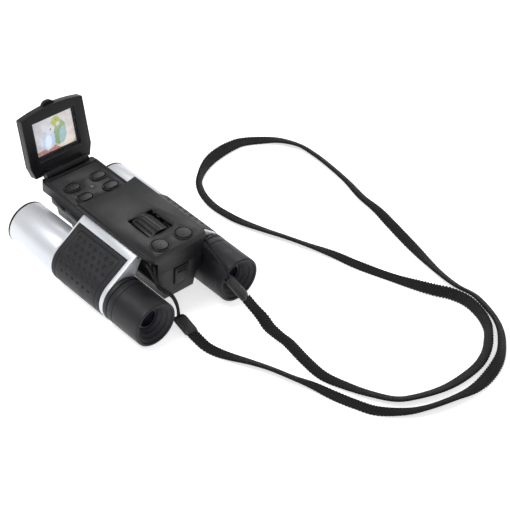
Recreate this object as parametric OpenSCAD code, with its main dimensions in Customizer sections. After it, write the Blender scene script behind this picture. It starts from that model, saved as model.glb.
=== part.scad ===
// Compact binoculars with a built-in camera. Two barrels hang from a middle
// body that carries the camera, the focus wheel and a fold-up screen.
// X runs to the user's right, Y forward along the barrels, Z up. The part
// stands on z = 0 with the middle of its plan at the origin. The wings are
// shown spread, the screen is shown open. Right-hand pieces are drawn and the
// left-hand ones are their mirror images.

/* [Barrels] */
// Outer diameter of the objective tubes
tube_d = 31.2; // [29:0.2:38]
// Gap between the two objective tubes with the wings spread
tube_gap = 38.8; // [36:0.2:46]
// Wall of the objective tubes at the lens seat
tube_wall = 1.6; // [1.2:0.1:2.4]
// Length of objective tube in front of the wing
tube_len = 46; // [38:1:60]
// Clear opening of each objective
objective_d = 25; // [20:0.5:26]
// Thickness of each objective doublet at its rim
objective_t = 5; // [4:0.5:7]
// Length of the silver wing shell
wing_len = 54; // [52:1:66]
// Wall of the silver wing shell
wing_wall = 1.2; // [1:0.1:1.8]
// Thickness of the rubber grip
grip_t = 1.1; // [0.8:0.1:1.6]
// How far the grip stands proud of the wing shell
grip_proud = 0.4; // [0.2:0.1:0.8]

/* [Eyepieces] */
// Outer diameter of the rubber eyecups
eyecup_d = 32; // [30:0.5:34]
// Length of each eyecup with its base ring
eyecup_len = 34; // [28:1:40]
// Length of the base ring, which is the dioptre ring on the right
base_ring_len = 3.4; // [2.5:0.1:5]
// Outer diameter of the eyepiece tube
eyepiece_d = 24; // [22:0.5:26]
// Diameter of the eye lens
eye_lens_d = 14; // [11:0.5:16]
// Depth of the eye lens below the rim of the eyecup
eye_relief_depth = 11; // [8:0.5:15]

/* [Body] */
// Length of the middle body
body_len = 117; // [110:1:142]
// Width of the deck
deck_w = 49.6; // [46:0.2:56]
// Height of the deck above the barrel axes
deck_rise = 34.6; // [33:0.2:40]
// Depth of the screen recess below the deck
panel_drop = 6.6; // [6:0.1:9]
// Width of the front slab that carries the button panel
slab_w = 44.4; // [40:0.2:48]
// Thickness of the front slab
slab_t = 10; // [9:0.5:13]
// Wall of the moulded casings
case_wall = 1.6; // [1.2:0.1:2.2]
// How far the body reaches behind the wings
body_tail = 15; // [13:0.5:20]
// Depth of the belly below the barrel axes
belly_drop = 3.4; // [2:0.2:6]

/* [Hinges] */
// Inward fold of each wing from the spread stop, in degrees
wing_fold = 11; // [6:1:12]
// Radius of the wing knuckles
knuckle_r = 3; // [2.8:0.1:3.4]
// Height of the wing hinges above the barrel axes
hinge_rise = 26; // [25:0.5:30]
// Distance from the edge of the deck in to each wing hinge
hinge_inset = 3.3; // [3:0.1:4.5]
// Radius of the wing hinge pins
pin_r = 1; // [0.8:0.1:1.2]
// Radius of the screen hinge pin
lid_pin_r = 1; // [0.8:0.1:1.3]
// Running clearance of turning and sliding fits, on the radius
run_gap = 0.05; // [0.03:0.01:0.1]

/* [Screen lid] */
// Width of the lid
lid_w = 50.4; // [46:0.2:54]
// Height of the lid at its corners, above its hinge
lid_h = 41.5; // [40:0.5:46]
// Extra height of the arched top edge
lid_arch = 3; // [2:0.5:5]
// Thickness of the lid
lid_t = 6; // [5:0.5:8]
// Distance from the hinge axis to the face of the lid
lid_offset = 3.5; // [3:0.1:5]
// Backward lean of the open lid from upright, in degrees
lid_lean = 16; // [0:1:30]
// Width of the screen picture
screen_w = 33.6; // [30:0.2:36]
// Height of the screen picture
screen_h = 25.2; // [22:0.2:27]

/* [Controls] */
// Radius of the focus wheel
wheel_r = 12; // [10:0.5:13]
// Length of the focus wheel
wheel_len = 20; // [16:0.5:22]
// Width of the wheel window in the deck
window_w = 20; // [18:0.5:22]
// Radius of the focus screw
screw_r = 2.5; // [2:0.1:3]
// Travel of the focus carriage each way
focus_travel = 2; // [1:0.5:2]
// Length of the oval panel buttons
oval_w = 10; // [8:0.5:11]
// Depth of the oval panel buttons
oval_d = 6.4; // [5:0.2:7]
// Diameter of the two deck buttons
deck_button_d = 10.5; // [9:0.5:12]
// Travel of every button
button_travel = 0.6; // [0.4:0.1:0.6]
// How far the buttons stand proud
button_proud = 0.8; // [0.6:0.1:1]

/* [Camera and power] */
// Diameter of the camera lens barrel
camera_d = 17; // [14:0.5:18]
// Length of the camera lens barrel
camera_len = 17.6; // [14:0.2:17.6]
// Diameter of one battery cell
cell_d = 10.5; // [10.1:0.1:10.5]
// Length of one battery cell
cell_len = 44.5; // [43.5:0.1:45]
// Outer diameter of the tripod socket
tripod_d = 9.5; // [9:0.1:11]
// Bore of the tripod socket, a quarter-inch thread
tripod_bore = 6.35; // [6.35:0.01:6.36]
// Depth of the tripod socket
tripod_depth = 8; // [6:0.5:9]

/* [Strap] */
// Width of the woven strap
strap_w = 8; // [6:0.5:9]
// Thickness of the woven strap
strap_t = 1.6; // [1.2:0.1:2]
// Diameter of the thin cord loops
loop_d = 1.4; // [1:0.1:1.6]

/* [Hidden] */
$fn = 64;

// Plan stations, from the rear rim of the eyecups forward
wing_r = tube_d / 2 + grip_proud + 0.4;
shell_r = wing_r - grip_proud;
barrel_x = (tube_d + tube_gap) / 2;
barrel_z = wing_r;
lid_bump = 2.4;
lid_reach = (lid_offset + lid_t) * cos(lid_lean) + (lid_h + lid_arch + lid_bump) * sin(lid_lean);
hinge_from_rim = eyecup_len - body_tail + body_len;
y_rim = -(hinge_from_rim + lid_reach) / 2;
y_wing0 = y_rim + eyecup_len;
y_wing1 = y_wing0 + wing_len;
y_tube1 = y_wing1 + tube_len;
y_body0 = y_wing0 - body_tail;
y_front = y_body0 + body_len;

// Heights
deck_z = barrel_z + deck_rise;
panel_z = deck_z - panel_drop;
slab_z = panel_z - slab_t;
belly_z = barrel_z - belly_drop;
split_z = slab_z + 1.4;
deck_edge_t = 3.4;
deck_x = deck_w / 2;
wall_x = deck_x - hinge_inset - knuckle_r - 0.3;

// Wing hinge geometry on the right: A is the hinge, B the barrel axis
ax = deck_x - hinge_inset;
az = barrel_z + hinge_rise;
arm_x = barrel_x - ax;
arm_z = -hinge_rise;
arm_len = norm([arm_x, arm_z]);
arm_dir = atan2(arm_z, arm_x);
fold_x = ax + arm_len * cos(arm_dir - wing_fold);
fold_z = az + arm_len * sin(arm_dir - wing_fold);
slot_half = 2.2;
knuckle_len = 10;
bridge_knuckle = 7.6;
bridge_r = 1.9;

// Focus train
wheel_z = deck_z + 0.6 - wheel_r;
y_wheel0 = y_wing0 + 4.6;
y_wheel1 = y_wheel0 + wheel_len;
y_carriage = y_wheel1 + 3 + focus_travel + 0.4;
carriage_half = 3;
spool_gap = 3.2;
spool_flange = 1;

// Lid and panel stations
y_hinge = y_front;
z_hinge = panel_z + 0.3;
lid_knuckle_r = 2.6;
lid_knuckle_w = 26.4;
deck_front = y_hinge - lid_h - lid_arch - 1;
screen_low = 11;
screen_recess = 2;
bump0 = min(lid_t - 1.6, deck_z - z_hinge - lid_offset + 0.4);

// Button places on the panel and the deck
y_keys_front = y_hinge - 20.5;
y_keys_rear = y_hinge - 34;
key_x = 10.7;
y_deck_keys = y_body0 + 8.4;
deck_key_x = 9.8;
board_z = panel_z - 6.8;
board_t = 1.2;
board_x = wall_x - case_wall - 0.5;
switch_h = 1.2;
flange_t = 1;

// Camera and battery bay
camera_z = barrel_z + 7.4;
y_shroud0 = y_front - 21;
y_shroud1 = y_front - 6;
cell_z = barrel_z + 7.4;
y_cell0 = y_wheel1 + 0.6;
y_bay1 = y_cell0 + cell_len + 3.5;
door_half = 8.4;
door_t = 1.5;
y_tripod = y_wheel0 + wheel_len / 2;
y_slab0 = y_wing1 + 0.5;
post_r = 1.8;
posts = [[8.4, y_body0 + case_wall + post_r + 0.1], [8.4, y_bay1 + 2.1]];

// Strap route for an eyecup rim at y = -79. Floor points are x, y, roll, and
// their height follows the roll; lead points are x, y, z, roll
strap_y = y_rim + 79;
lug_y = y_body0 + 4;
lug_shift = [ax - 21.5, lug_y - strap_y + 56, az - 42.4];
strap_lead_a = [[29.5, -92, 13, 0], [31, -98, 8.5, 0], [32.5, -105, 4, 10], [31.5, -113, 1.6, 10]];
strap_lead_b = [[-12, -101, 1.2, 0], [-12.2, -94, 2.2, 0], [-12, -88, 3, 0]];
strap_floor = [
    [31, -123, 0], [31, -132, 0], [28, -151, 0], [27, -168, 0], [31, -184, -10],
    [37, -199, -20], [46, -213, -35], [58, -220, -45], [75, -225, -30], [92, -226, -20],
    [110, -224, -25], [124, -218, -40], [135, -209, -55], [141, -202, -60], [146, -191, -60],
    [148, -178, -60], [145, -166, -55], [139, -154, -35], [130, -129, 0], [121, -105, 0],
    [115, -86, 10], [107, -68, 30], [101, -53, 42], [95, -38, 45], [89.5, -21, 35],
    [87, -8, 30], [86, 4, 40], [88, 16, 50], [92, 25, 60], [98, 32, 70], [108, 39, 65],
    [119, 44, 50], [131, 47, 35], [142, 48.5, 20], [152, 48, 10], [165, 42, 0],
    [175, 32, -15], [181, 18, -35], [182, 4, -42], [181, -12, -44], [178, -34, -42],
    [174, -53, -30], [173, -70, -10], [170, -86, 0], [164, -112, 0], [157, -140, -25],
    [155, -161, -45], [157, -177, -60], [153, -194, -60], [147, -207, -60],
    [138, -218, -55], [124, -229, -40], [107, -235, -15], [91, -237, 10], [74, -235.5, 30],
    [56, -231, 30], [43, -224, 15], [31, -212, 0], [25, -200, 0], [20, -186, 0],
    [15, -171, 15], [9.5, -159, 40], [4.5, -145, 44], [-1, -132, 30], [-7, -119, 10],
    [-10.5, -109, 0]
];
sleeve_a = [[22.8, -81.6, 26.2], [29.5, -92, 13]];
sleeve_b = [[-10, -71.6, 5], [-12, -88, 3]];
sleeve_w = strap_w + 1.4;
sleeve_t = strap_t + 1.6;
// Loop points: x, y, z and the share of the lug's own shift they follow
loop_a = [
    [23.6, -81.6, 26.2, 0], [23.4, -78.2, 33.2, 0], [23.6, -72, 36, 0.3], [23.4, -65, 39.5, 0.6],
    [23.5, -59.5, 42, 1], [23.5, -56.9, 43, 1], [22.9, -54.8, 43.4, 1], [21.5, -54.1, 43.6, 1],
    [20.1, -54.8, 43.5, 1], [19.6, -56.7, 43, 1], [20.2, -59.5, 42, 1], [21.6, -65, 39.5, 0.6],
    [22, -72, 36, 0.3], [21.8, -78.2, 33.2, 0], [22, -81.6, 26.2, 0]
];
loop_b = [
    [-9.2, -71.8, 5, 0], [-9.8, -71.2, 11.5, 0.2], [-11.2, -70.4, 18, 0.3], [-14, -68.8, 24.4, 0.4],
    [-17.8, -67.2, 28.6, 0.5], [-21, -64.8, 32.4, 0.7], [-21.6, -61.5, 37, 0.9], [-20.4, -59.2, 41, 1],
    [-19.6, -56.7, 43, 1], [-20.1, -54.8, 43.5, 1], [-21.5, -54.1, 43.6, 1], [-22.9, -54.8, 43.4, 1],
    [-23.5, -56.9, 43, 1], [-23.6, -59.2, 41.4, 1], [-23.2, -61.5, 37.6, 0.9], [-22, -65.4, 31.4, 0.7],
    [-18.6, -68, 27.6, 0.5], [-14.8, -69.8, 23, 0.4], [-12.4, -71, 17.4, 0.3], [-11, -71.8, 11.4, 0.2],
    [-10.8, -72.2, 5, 0]
];

// Prism block sizes
prism_w = 15;
prism_len = 21;
holder_r = shell_r - wing_wall - 0.1;
cell_r = 12.4;

function dir(a) = [cos(a), sin(a)];
function pa(a, r) = [ax, az] + r * dir(a);
function pb(a, r) = [barrel_x, barrel_z] + r * dir(a);
function top_dir(ra, rb) = arm_dir + acos((ra - rb) / arm_len);

// Half width of the belly at height z that clears the folded wing
function belly_x(z) = let(r = wing_r + 0.8, d = z - fold_z)
    min(wall_x, fold_x - (abs(d) < r ? sqrt(r * r - d * d) : 0));

// Draws a section of X and Z along Y from a to b
module along_y(a, b) {
    translate([0, b, 0]) rotate([90, 0, 0]) linear_extrude(b - a) children();
}

module rod(x, z, r, a, b) {
    along_y(a, b) translate([x, z]) circle(r);
}

module tube(x, z, ro, ri, a, b) {
    along_y(a, b) translate([x, z]) difference() {
        circle(ro);
        circle(ri);
    }
}

module left() {
    mirror([1, 0, 0]) children();
}

module both() {
    children();
    left() children();
}

module box(x0, x1, y0, y1, z0, z1) {
    translate([x0, y0, z0]) cube([x1 - x0, y1 - y0, z1 - z0]);
}

// ---- wings -------------------------------------------------------------

// Closed teardrop from the hinge knuckle round the barrel
module wing_profile(ra, rb) {
    n = top_dir(ra, rb);
    translate([ax, az]) circle(ra);
    translate([barrel_x, barrel_z]) circle(rb);
    polygon([pa(n, ra), pa(190, ra), pb(130, rb), pb(180, rb / 3), pb(n, rb)]);
}

module wing_cavity_profile() {
    r = shell_r - wing_wall;
    n = top_dir(knuckle_r, shell_r);
    inner = pb(130, shell_r) - pa(190, knuckle_r);
    d = inner / norm(inner);
    m = [d[1], -d[0]];
    translate([barrel_x, barrel_z]) circle(r);
    polygon([
        pa(n, knuckle_r - wing_wall) + 4 * dir(n - 90), pb(n, r), pb(-60, r / 4),
        pb(130, shell_r) - wing_wall * m, pa(190, knuckle_r) - wing_wall * m + 5 * d
    ]);
}

// Region of the wing surface that the rubber grip covers
module grip_region() {
    n = top_dir(knuckle_r, shell_r);
    polygon([
        pa(n, knuckle_r - 3) + 5.4 * dir(n - 90), pa(n, knuckle_r + 9) + 5.4 * dir(n - 90),
        pb(20, 40), pb(-40, 40), pb(-104, 40), pb(-104, 4)
    ]);
}

module grip_band(ro, ri) {
    difference() {
        wing_profile(knuckle_r + ro, shell_r + ro);
        wing_profile(knuckle_r + ri, shell_r + ri);
    }
}

module wing_shell() {
    mid0 = y_wing0 + knuckle_len;
    mid1 = y_wing1 - knuckle_len;
    difference() {
        along_y(y_wing0, y_wing1) wing_profile(knuckle_r, shell_r);
        along_y(y_wing0 + wing_wall, y_wing1 - wing_wall) wing_cavity_profile();
        rod(barrel_x, barrel_z, shell_r - wing_wall, y_wing1 - wing_wall - 1, y_wing1 + 1);
        rod(barrel_x, barrel_z, eyepiece_d / 2 + 0.1, y_wing0 - 1, y_wing0 + 3);
        rod(ax, az, pin_r + run_gap, y_wing0 - 1, y_wing1 + 1);
        along_y(mid0, mid1) {
            translate([ax, az]) circle(slot_half);
            translate([ax - 8, az - 7]) square([8.6, 7 + slot_half]);
            translate([ax, az]) rotate(arm_dir) translate([0, -slot_half]) square([8, 2 * slot_half]);
        }
        along_y(y_wing0 + 3.4, y_wing1 - 1.2) intersection() {
            grip_band(1, grip_proud - grip_t);
            grip_region();
        }
    }
}

module grip() {
    along_y(y_wing0 + 3.5, y_wing1 - 1.3) intersection() {
        grip_band(grip_proud, grip_proud - grip_t);
        grip_region();
    }
}

module wing_shell_right() color("silver") wing_shell();
module wing_shell_left() color("silver") left() wing_shell();
module grip_right() color([0.16, 0.16, 0.17]) grip();
module grip_left() color([0.16, 0.16, 0.17]) left() grip();

// ---- objective end -------------------------------------------------------

tube_ri = tube_d / 2 - tube_wall;
lens_seat = y_tube1 - 3 - objective_t;
spigot_len = 8;
spigot_r = shell_r - wing_wall - 0.02;

module objective_tube() {
    difference() {
        union() {
            rod(barrel_x, barrel_z, tube_d / 2, y_wing1, y_tube1 - 1.6);
            rod(barrel_x, barrel_z, spigot_r, y_wing1 - spigot_len, y_wing1 + 1);
        }
        rod(barrel_x, barrel_z, objective_d / 2, y_wing1 - spigot_len - 1, y_tube1);
        rod(barrel_x, barrel_z, tube_ri, lens_seat, y_tube1);
        rod(barrel_x, barrel_z, tube_ri, y_wing1 - spigot_len - 1, lens_seat - 2);
    }
}

module front_ring() {
    tube(barrel_x, barrel_z, tube_d / 2, objective_d / 2, y_tube1 - 1.6, y_tube1);
    tube(barrel_x, barrel_z, tube_ri - 0.02, objective_d / 2, lens_seat + objective_t, y_tube1 - 1.6);
}

// A lens between two spherical caps, cut to its rim
module lens(x, z, r, a, b, bulge) {
    big = (r * r + bulge * bulge) / (2 * bulge);
    intersection() {
        rod(x, z, r, a, b + 1);
        translate([x, b - big, z]) sphere(big, $fn = 200);
    }
}

module objective_lens() {
    lens(barrel_x, barrel_z, tube_ri - 0.03, lens_seat, lens_seat + objective_t, 1.6);
}

module objective_tube_right() color("gainsboro") objective_tube();
module objective_tube_left() color("gainsboro") left() objective_tube();
module front_ring_right() color([0.1, 0.1, 0.1]) front_ring();
module front_ring_left() color([0.1, 0.1, 0.1]) left() front_ring();
module objective_lens_right() color([0.5, 0.35, 0.6, 0.6]) objective_lens();
module objective_lens_left() color([0.5, 0.35, 0.6, 0.6]) left() objective_lens();

// ---- prisms and the moving focus cell ------------------------------------

y_prism0 = y_wing0 + 3.6;
y_bore0 = y_prism0 + prism_len + 1.6;
y_holder1 = y_carriage + carriage_half + focus_travel + 3.5;

module prism_holder() {
    difference() {
        rod(barrel_x, barrel_z, holder_r, y_prism0, y_holder1);
        rod(barrel_x, barrel_z, cell_r + run_gap, y_bore0, y_holder1 + 1);
        rod(barrel_x, barrel_z, 8, y_prism0 - 1, y_holder1);
        box(barrel_x - prism_w / 2, barrel_x + prism_w / 2, y_prism0 + 1.2,
            y_prism0 + prism_len, barrel_z - prism_w / 2, barrel_z + prism_w / 2);
        along_y(y_bore0, y_holder1 + 1)
            translate([barrel_x, barrel_z]) rotate(arm_dir + 180)
                translate([4, -3]) square([20, 6]);
    }
}

// Two air-spaced prisms of a straight-through erecting pair
module prisms() {
    s = prism_w - 0.2;
    y0 = y_prism0 + 1.3;
    half = s / 2;
    translate([barrel_x - half, y0, barrel_z - half]) linear_extrude(s)
        polygon([[0, 0], [s, 0], [s, 8], [half, 10.6], [0, 5]]);
    translate([barrel_x - half, y0, barrel_z - half]) linear_extrude(s)
        polygon([[0, 5.6], [half, 11.2], [s, 8.8], [s, 19.2], [0, 19.2]]);
}

module focus_cell() {
    a = y_bore0 + focus_travel + 0.5;
    b = a + 6;
    tube(barrel_x, barrel_z, cell_r, 10, a, b);
    lens(barrel_x, barrel_z, 10.3, a + 1, b - 1, 1);
    along_y(y_carriage - 1.5, y_carriage + 1.5) difference() {
        union() {
            translate([ax, az]) circle(2);
            translate([ax, az]) rotate(arm_dir) translate([0, -1.2]) square([arm_len - cell_r + 0.4, 2.4]);
        }
        translate([ax, az]) circle(pin_r + 0.1);
    }
}

module prism_holder_right() color([0.2, 0.2, 0.2]) prism_holder();
module prism_holder_left() color([0.2, 0.2, 0.2]) left() prism_holder();
module prisms_right() color([0.8, 0.9, 0.95, 0.6]) prisms();
module prisms_left() color([0.8, 0.9, 0.95, 0.6]) left() prisms();
module focus_cell_right() color([0.25, 0.25, 0.25]) focus_cell();
module focus_cell_left() color([0.25, 0.25, 0.25]) left() focus_cell();

// ---- eyepieces -----------------------------------------------------------

y_eye_lens = y_rim + eye_relief_depth;
y_eyepiece1 = y_wing0 + wing_wall + 2.2;
eyepiece_r = eyepiece_d / 2;
y_ring1 = y_wing0 - 0.2;
y_cup1 = y_ring1 - base_ring_len - 0.2;

module eyepiece() {
    difference() {
        union() {
            rod(barrel_x, barrel_z, eyepiece_r, y_eye_lens - 3, y_eyepiece1);
            rod(barrel_x, barrel_z, holder_r, y_wing0 + wing_wall, y_eyepiece1);
        }
        rod(barrel_x, barrel_z, eye_lens_d / 2 - 1, y_eye_lens - 4, y_eyepiece1 + 1);
        rod(barrel_x, barrel_z, eye_lens_d / 2, y_eye_lens, y_eye_lens + 6);
        rod(barrel_x, barrel_z, eyepiece_r - 1.5, y_eye_lens + 6, y_eyepiece1 + 1);
    }
}

module eye_lenses() {
    lens(barrel_x, barrel_z, eye_lens_d / 2, y_eye_lens, y_eye_lens + 5, 1.4);
    lens(barrel_x, barrel_z, eyepiece_r - 1.52, y_wing0 - 8, y_wing0 - 3, 1.6);
}

module eyecup() {
    r = eyecup_d / 2;
    translate([barrel_x, y_rim, barrel_z]) rotate([-90, 0, 0]) rotate_extrude() difference() {
        union() {
            square([r, y_cup1 - y_rim - 1]);
            square([r - 0.6, y_cup1 - y_rim]);
        }
        translate([-1, -1]) square([eye_lens_d / 2 + 1.4, 12]);
        translate([-1, eye_relief_depth - 3]) square([eyepiece_r + 1, 60]);
        polygon([[0, -1], [r - 0.9, -1], [r - 1.6, 0.8], [eye_lens_d / 2, eye_relief_depth - 3], [0, 8]]);
    }
}

module base_ring(fit) {
    tube(barrel_x, barrel_z, eyecup_d / 2 + 0.1, eyepiece_r + fit, y_ring1 - base_ring_len, y_ring1);
}

module dioptre_ring() color([0.12, 0.12, 0.12]) difference() {
    base_ring(run_gap);
    for (a = [0 : 15 : 345])
        rod(barrel_x + (eyecup_d / 2 + 0.4) * cos(a), barrel_z + (eyecup_d / 2 + 0.4) * sin(a), 0.6,
            y_ring1 - base_ring_len - 1, y_ring1 + 1);
}

module base_ring_left() color([0.12, 0.12, 0.12]) left() base_ring(0);
module eyepiece_right() color([0.15, 0.15, 0.17]) eyepiece();
module eyepiece_left() color([0.15, 0.15, 0.17]) left() eyepiece();
module eye_lenses_right() color([0.4, 0.3, 0.55, 0.6]) eye_lenses();
module eye_lenses_left() color([0.4, 0.3, 0.55, 0.6]) left() eye_lenses();
module eyecup_right() color([0.13, 0.13, 0.13]) eyecup();
module eyecup_left() color([0.13, 0.13, 0.13]) left() eyecup();

// ---- middle body ---------------------------------------------------------

// Symmetrical section from its right-hand points, given from the bottom up
module mirrored(points) {
    last = len(points) - 1;
    polygon(concat(points, [for (i = [last : -1 : 0]) [-points[i][0], points[i][1]]]));
}

// Deck section, with rounded long edges
module deck_section() {
    r = 1.6;
    for (s = [-1, 1]) translate([s * (deck_x - r), deck_z - r]) circle(r);
    mirrored([
        [wall_x, split_z], [wall_x, az - 2], [wall_x + 0.4, deck_z - deck_edge_t - 2.4],
        [deck_x, deck_z - deck_edge_t], [deck_x, deck_z - r], [deck_x - r, deck_z]
    ]);
}

module slab_section() {
    r = 1.4;
    x = slab_w / 2;
    for (s = [-1, 1]) translate([s * (x - r), panel_z - r]) circle(r);
    mirrored([[wall_x, split_z], [x, slab_z + 2.4], [x, panel_z - r], [x - r, panel_z]]);
}

module belly_section(inset) {
    x0 = belly_x(barrel_z + 10.2) - inset;
    x1 = belly_x(barrel_z + 4) - inset;
    x2 = belly_x(barrel_z) - inset;
    top = min(wall_x - inset, belly_x(barrel_z + 13) - inset);
    mirrored([
        [x2 - 0.6, belly_z + inset], [x2, barrel_z - 1 + inset / 2], [x1, barrel_z + 4],
        [x0, barrel_z + 10.2], [top, barrel_z + 13], [top, split_z]
    ]);
}

// Plan outline of the deck: cut rear corners, arched front edge
module deck_plan(inset) {
    x = deck_x - inset + 1;
    a = y_body0 + inset;
    b = deck_front + lid_arch - inset;
    rr = (pow(deck_x, 2) + pow(lid_arch, 2)) / (2 * lid_arch);
    difference() {
        polygon([[-x, a + 9], [-x + 4.6, a], [x - 4.6, a], [x, a + 9], [x, b], [-x, b]]);
        translate([0, deck_front + rr]) circle(rr, $fn = 180);
    }
}

// Plan outline of the front slab, waisted where the wing hinges pass it
module slab_plan() {
    x = slab_w / 2;
    polygon([
        [-x, y_slab0], [-wall_x, y_slab0], [-wall_x, deck_front - 6], [wall_x, deck_front - 6],
        [wall_x, y_slab0], [x, y_slab0], [x, y_front - 3], [x - 2, y_front],
        [-x + 2, y_front], [-x, y_front - 3]
    ]);
}

module key_places() {
    translate([-key_x, y_keys_front]) children();
    translate([key_x, y_keys_front]) children();
    translate([-key_x, y_keys_rear]) children();
    translate([key_x, y_keys_rear]) children();
}

// Flat oval with round ends
module oval(w, d) {
    translate([-(w - d) / 2, 0]) circle(d / 2);
    translate([(w - d) / 2, 0]) circle(d / 2);
    translate([-(w - d) / 2, -d / 2]) square([w - d, d]);
}

module plate(z0, z1) {
    translate([0, 0, z0]) linear_extrude(z1 - z0) children();
}

// Slots through the side walls for the hinge arms and the focus arms
module arm_slots() {
    for (s = arm_stations)
        box(-deck_x - 5, deck_x + 5, s[0] - 0.4, s[1] + 0.4, az - 3.4, az + 2.4);
}

arm_stations = [
    [y_wing0 + knuckle_len + 0.2, y_wing0 + knuckle_len + bridge_knuckle],
    [y_carriage - carriage_half - focus_travel, y_carriage + carriage_half + focus_travel],
    [y_wing1 - knuckle_len - bridge_knuckle + 1.6, y_wing1 - knuckle_len - 0.2]
];

module top_cover() color([0.17, 0.17, 0.18]) {
    top_shell();
    both() for (p = posts) translate([p[0], p[1], belly_z + case_wall]) difference() {
        cylinder(r = post_r, h = (p[1] < 0 ? az : panel_z - case_wall + 0.4) - belly_z - case_wall);
        translate([0, 0, -1]) cylinder(r = 0.85, h = 6);
    }
    both() box(posts[0][0] - 1, posts[0][0] + 1, y_body0 + 1, posts[0][1], split_z, az);
}

module top_shell() difference() {
    union() {
        intersection() {
            along_y(y_body0, deck_front + lid_arch) deck_section();
            plate(0, deck_z + 1) deck_plan(0);
        }
        intersection() {
            along_y(deck_front - 6, y_front) slab_section();
            plate(0, deck_z + 1) slab_plan();
        }
        // raised rim round the button panel
        plate(panel_z - 0.1, panel_z + 0.7) difference() {
            polygon([
                [-slab_w / 2 + 1, deck_front], [slab_w / 2 - 1, deck_front],
                [slab_w / 2 - 1, y_front - 5], [-slab_w / 2 + 1, y_front - 5]
            ]);
            polygon([
                [-slab_w / 2 + 2.2, deck_front - 5], [slab_w / 2 - 2.2, deck_front - 5],
                [slab_w / 2 - 2.2, y_front - 6.2], [-slab_w / 2 + 2.2, y_front - 6.2]
            ]);
        }
        // hinge ears for the screen
        for (s = [-1, 1])
            translate([s * (lid_knuckle_w / 2 + 2.3) - 2, y_hinge, z_hinge]) rotate([0, 90, 0])
                cylinder(r = lid_knuckle_r, h = 4);
    }
    // hollow inside
    intersection() {
        box(-wall_x + case_wall, wall_x - case_wall, y_body0 + case_wall, deck_front + 1, split_z - 1,
            deck_z - case_wall);
        plate(0, deck_z) deck_plan(case_wall);
    }
    box(-wall_x + case_wall, wall_x - case_wall, deck_front - 5, y_front - 6, split_z - 1, panel_z - case_wall);
    // notch for the screen's hinge knuckle
    translate([-lid_knuckle_w / 2 - 0.2, y_hinge, z_hinge]) rotate([0, 90, 0])
        cylinder(r = lid_knuckle_r + 0.5, h = lid_knuckle_w + 0.4);
    box(-lid_knuckle_w / 2 - 0.2, lid_knuckle_w / 2 + 0.2, y_hinge - 0.5, y_hinge + 4, split_z - 1, panel_z + 4);
    translate([-30, y_hinge, z_hinge]) rotate([0, 90, 0]) cylinder(r = lid_pin_r, h = 60);
    // dished recess and window over the focus wheel
    translate([0, (y_wheel0 + y_wheel1) / 2, deck_z + 106]) sphere(107.2, $fn = 200);
    box(-window_w / 2, window_w / 2, y_wheel0 - 0.8, y_wheel1 + 0.8, deck_z - 4, deck_z + 2);
    arm_slots();
    key_places() plate(panel_z - 3, panel_z + 2) oval(oval_w + 0.4, oval_d + 0.4);
    translate([0, (y_keys_front + y_keys_rear) / 2]) plate(panel_z - 3, panel_z + 1) circle(1.85);
    for (s = [-1, 1]) translate([s * deck_key_x, y_deck_keys])
        plate(deck_z - 3, deck_z + 1) circle(deck_button_d / 2 + 0.2);
    // USB opening reaches into the rear wall
    box(usb_x - 5.2, usb_x + 5.2, y_body0 - 1, y_body0 + 3, usb_z - 3.4, usb_z + 3.4);
}

usb_x = 1.6;
usb_z = barrel_z + 13;

module bottom_cover() color([0.17, 0.17, 0.18]) difference() {
    along_y(y_body0, y_shroud0 - 0.6) belly_section(0);
    along_y(y_body0 + case_wall, y_shroud0 - 2.2) belly_section(case_wall);
    box(-wall_x + case_wall, wall_x - case_wall, y_body0 + case_wall, y_shroud0 - 2.2, split_z - 1, split_z + 1);
    box(-door_half - 0.2, door_half + 0.2, y_cell0 - 2.2, y_bay1 + 0.2, belly_z - 1, belly_z + 2);
    translate([0, y_tripod, belly_z - 1]) cylinder(r = tripod_d / 2, h = 6);
    box(usb_x - 5.2, usb_x + 5.2, y_body0 - 1, y_body0 + 3, usb_z - 3.4, usb_z + 3.4);
    // shallow recess for the USB cover
    box(usb_x - 6.3, usb_x + 6.3, y_body0 - 1, y_body0 + 1, usb_z - 7.9, usb_z + 5.1);
    both() for (p = posts) translate([p[0], p[1], belly_z - 1]) {
        cylinder(r = 1.7, h = 2);
        cylinder(r = 0.9, h = 4);
    }
    rod(0, camera_z, camera_d / 2 + 0.05, y_shroud0 - 4, y_shroud0 + 1);
}

module case_screws() color("dimgray") both() for (p = posts) translate([p[0], p[1], belly_z + 0.1]) {
    difference() {
        cylinder(r = 1.6, h = 0.9);
        translate([-1.2, -0.25, -1]) cube([2.4, 0.5, 1.4]);
        translate([-0.25, -1.2, -1]) cube([0.5, 2.4, 1.4]);
    }
    translate([0, 0, 0.8]) cylinder(r = 0.85, h = 5);
}

module camera_shroud() color([0.15, 0.15, 0.16]) difference() {
    along_y(y_shroud0, y_shroud1) belly_section(0.6);
    rod(0, camera_z, camera_d / 2 + 0.05, y_shroud0 - 1, y_shroud1 + 1);
}

module camera_barrel() color([0.1, 0.1, 0.1]) difference() {
    rod(0, camera_z, camera_d / 2, y_shroud1 - 1 - camera_len, y_shroud1 - 1);
    rod(0, camera_z, camera_d / 2 - 3.4, y_shroud1 - 2 - camera_len, y_shroud1);
    rod(0, camera_z, camera_d / 2 - 1.6, y_shroud1 - 4, y_shroud1);
}

module camera_lens() color([0.3, 0.3, 0.5, 0.7]) {
    lens(0, camera_z, camera_d / 2 - 1.62, y_shroud1 - 4, y_shroud1 - 1.4, 1.2);
    lens(0, camera_z, camera_d / 2 - 3.42, y_shroud1 - 11, y_shroud1 - 7, 0.8);
}

module camera_ring() color("silver")
    tube(0, camera_z, camera_d / 2 + 1.2, camera_d / 2 - 2.6, y_shroud1, y_shroud1 + 1);

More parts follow.
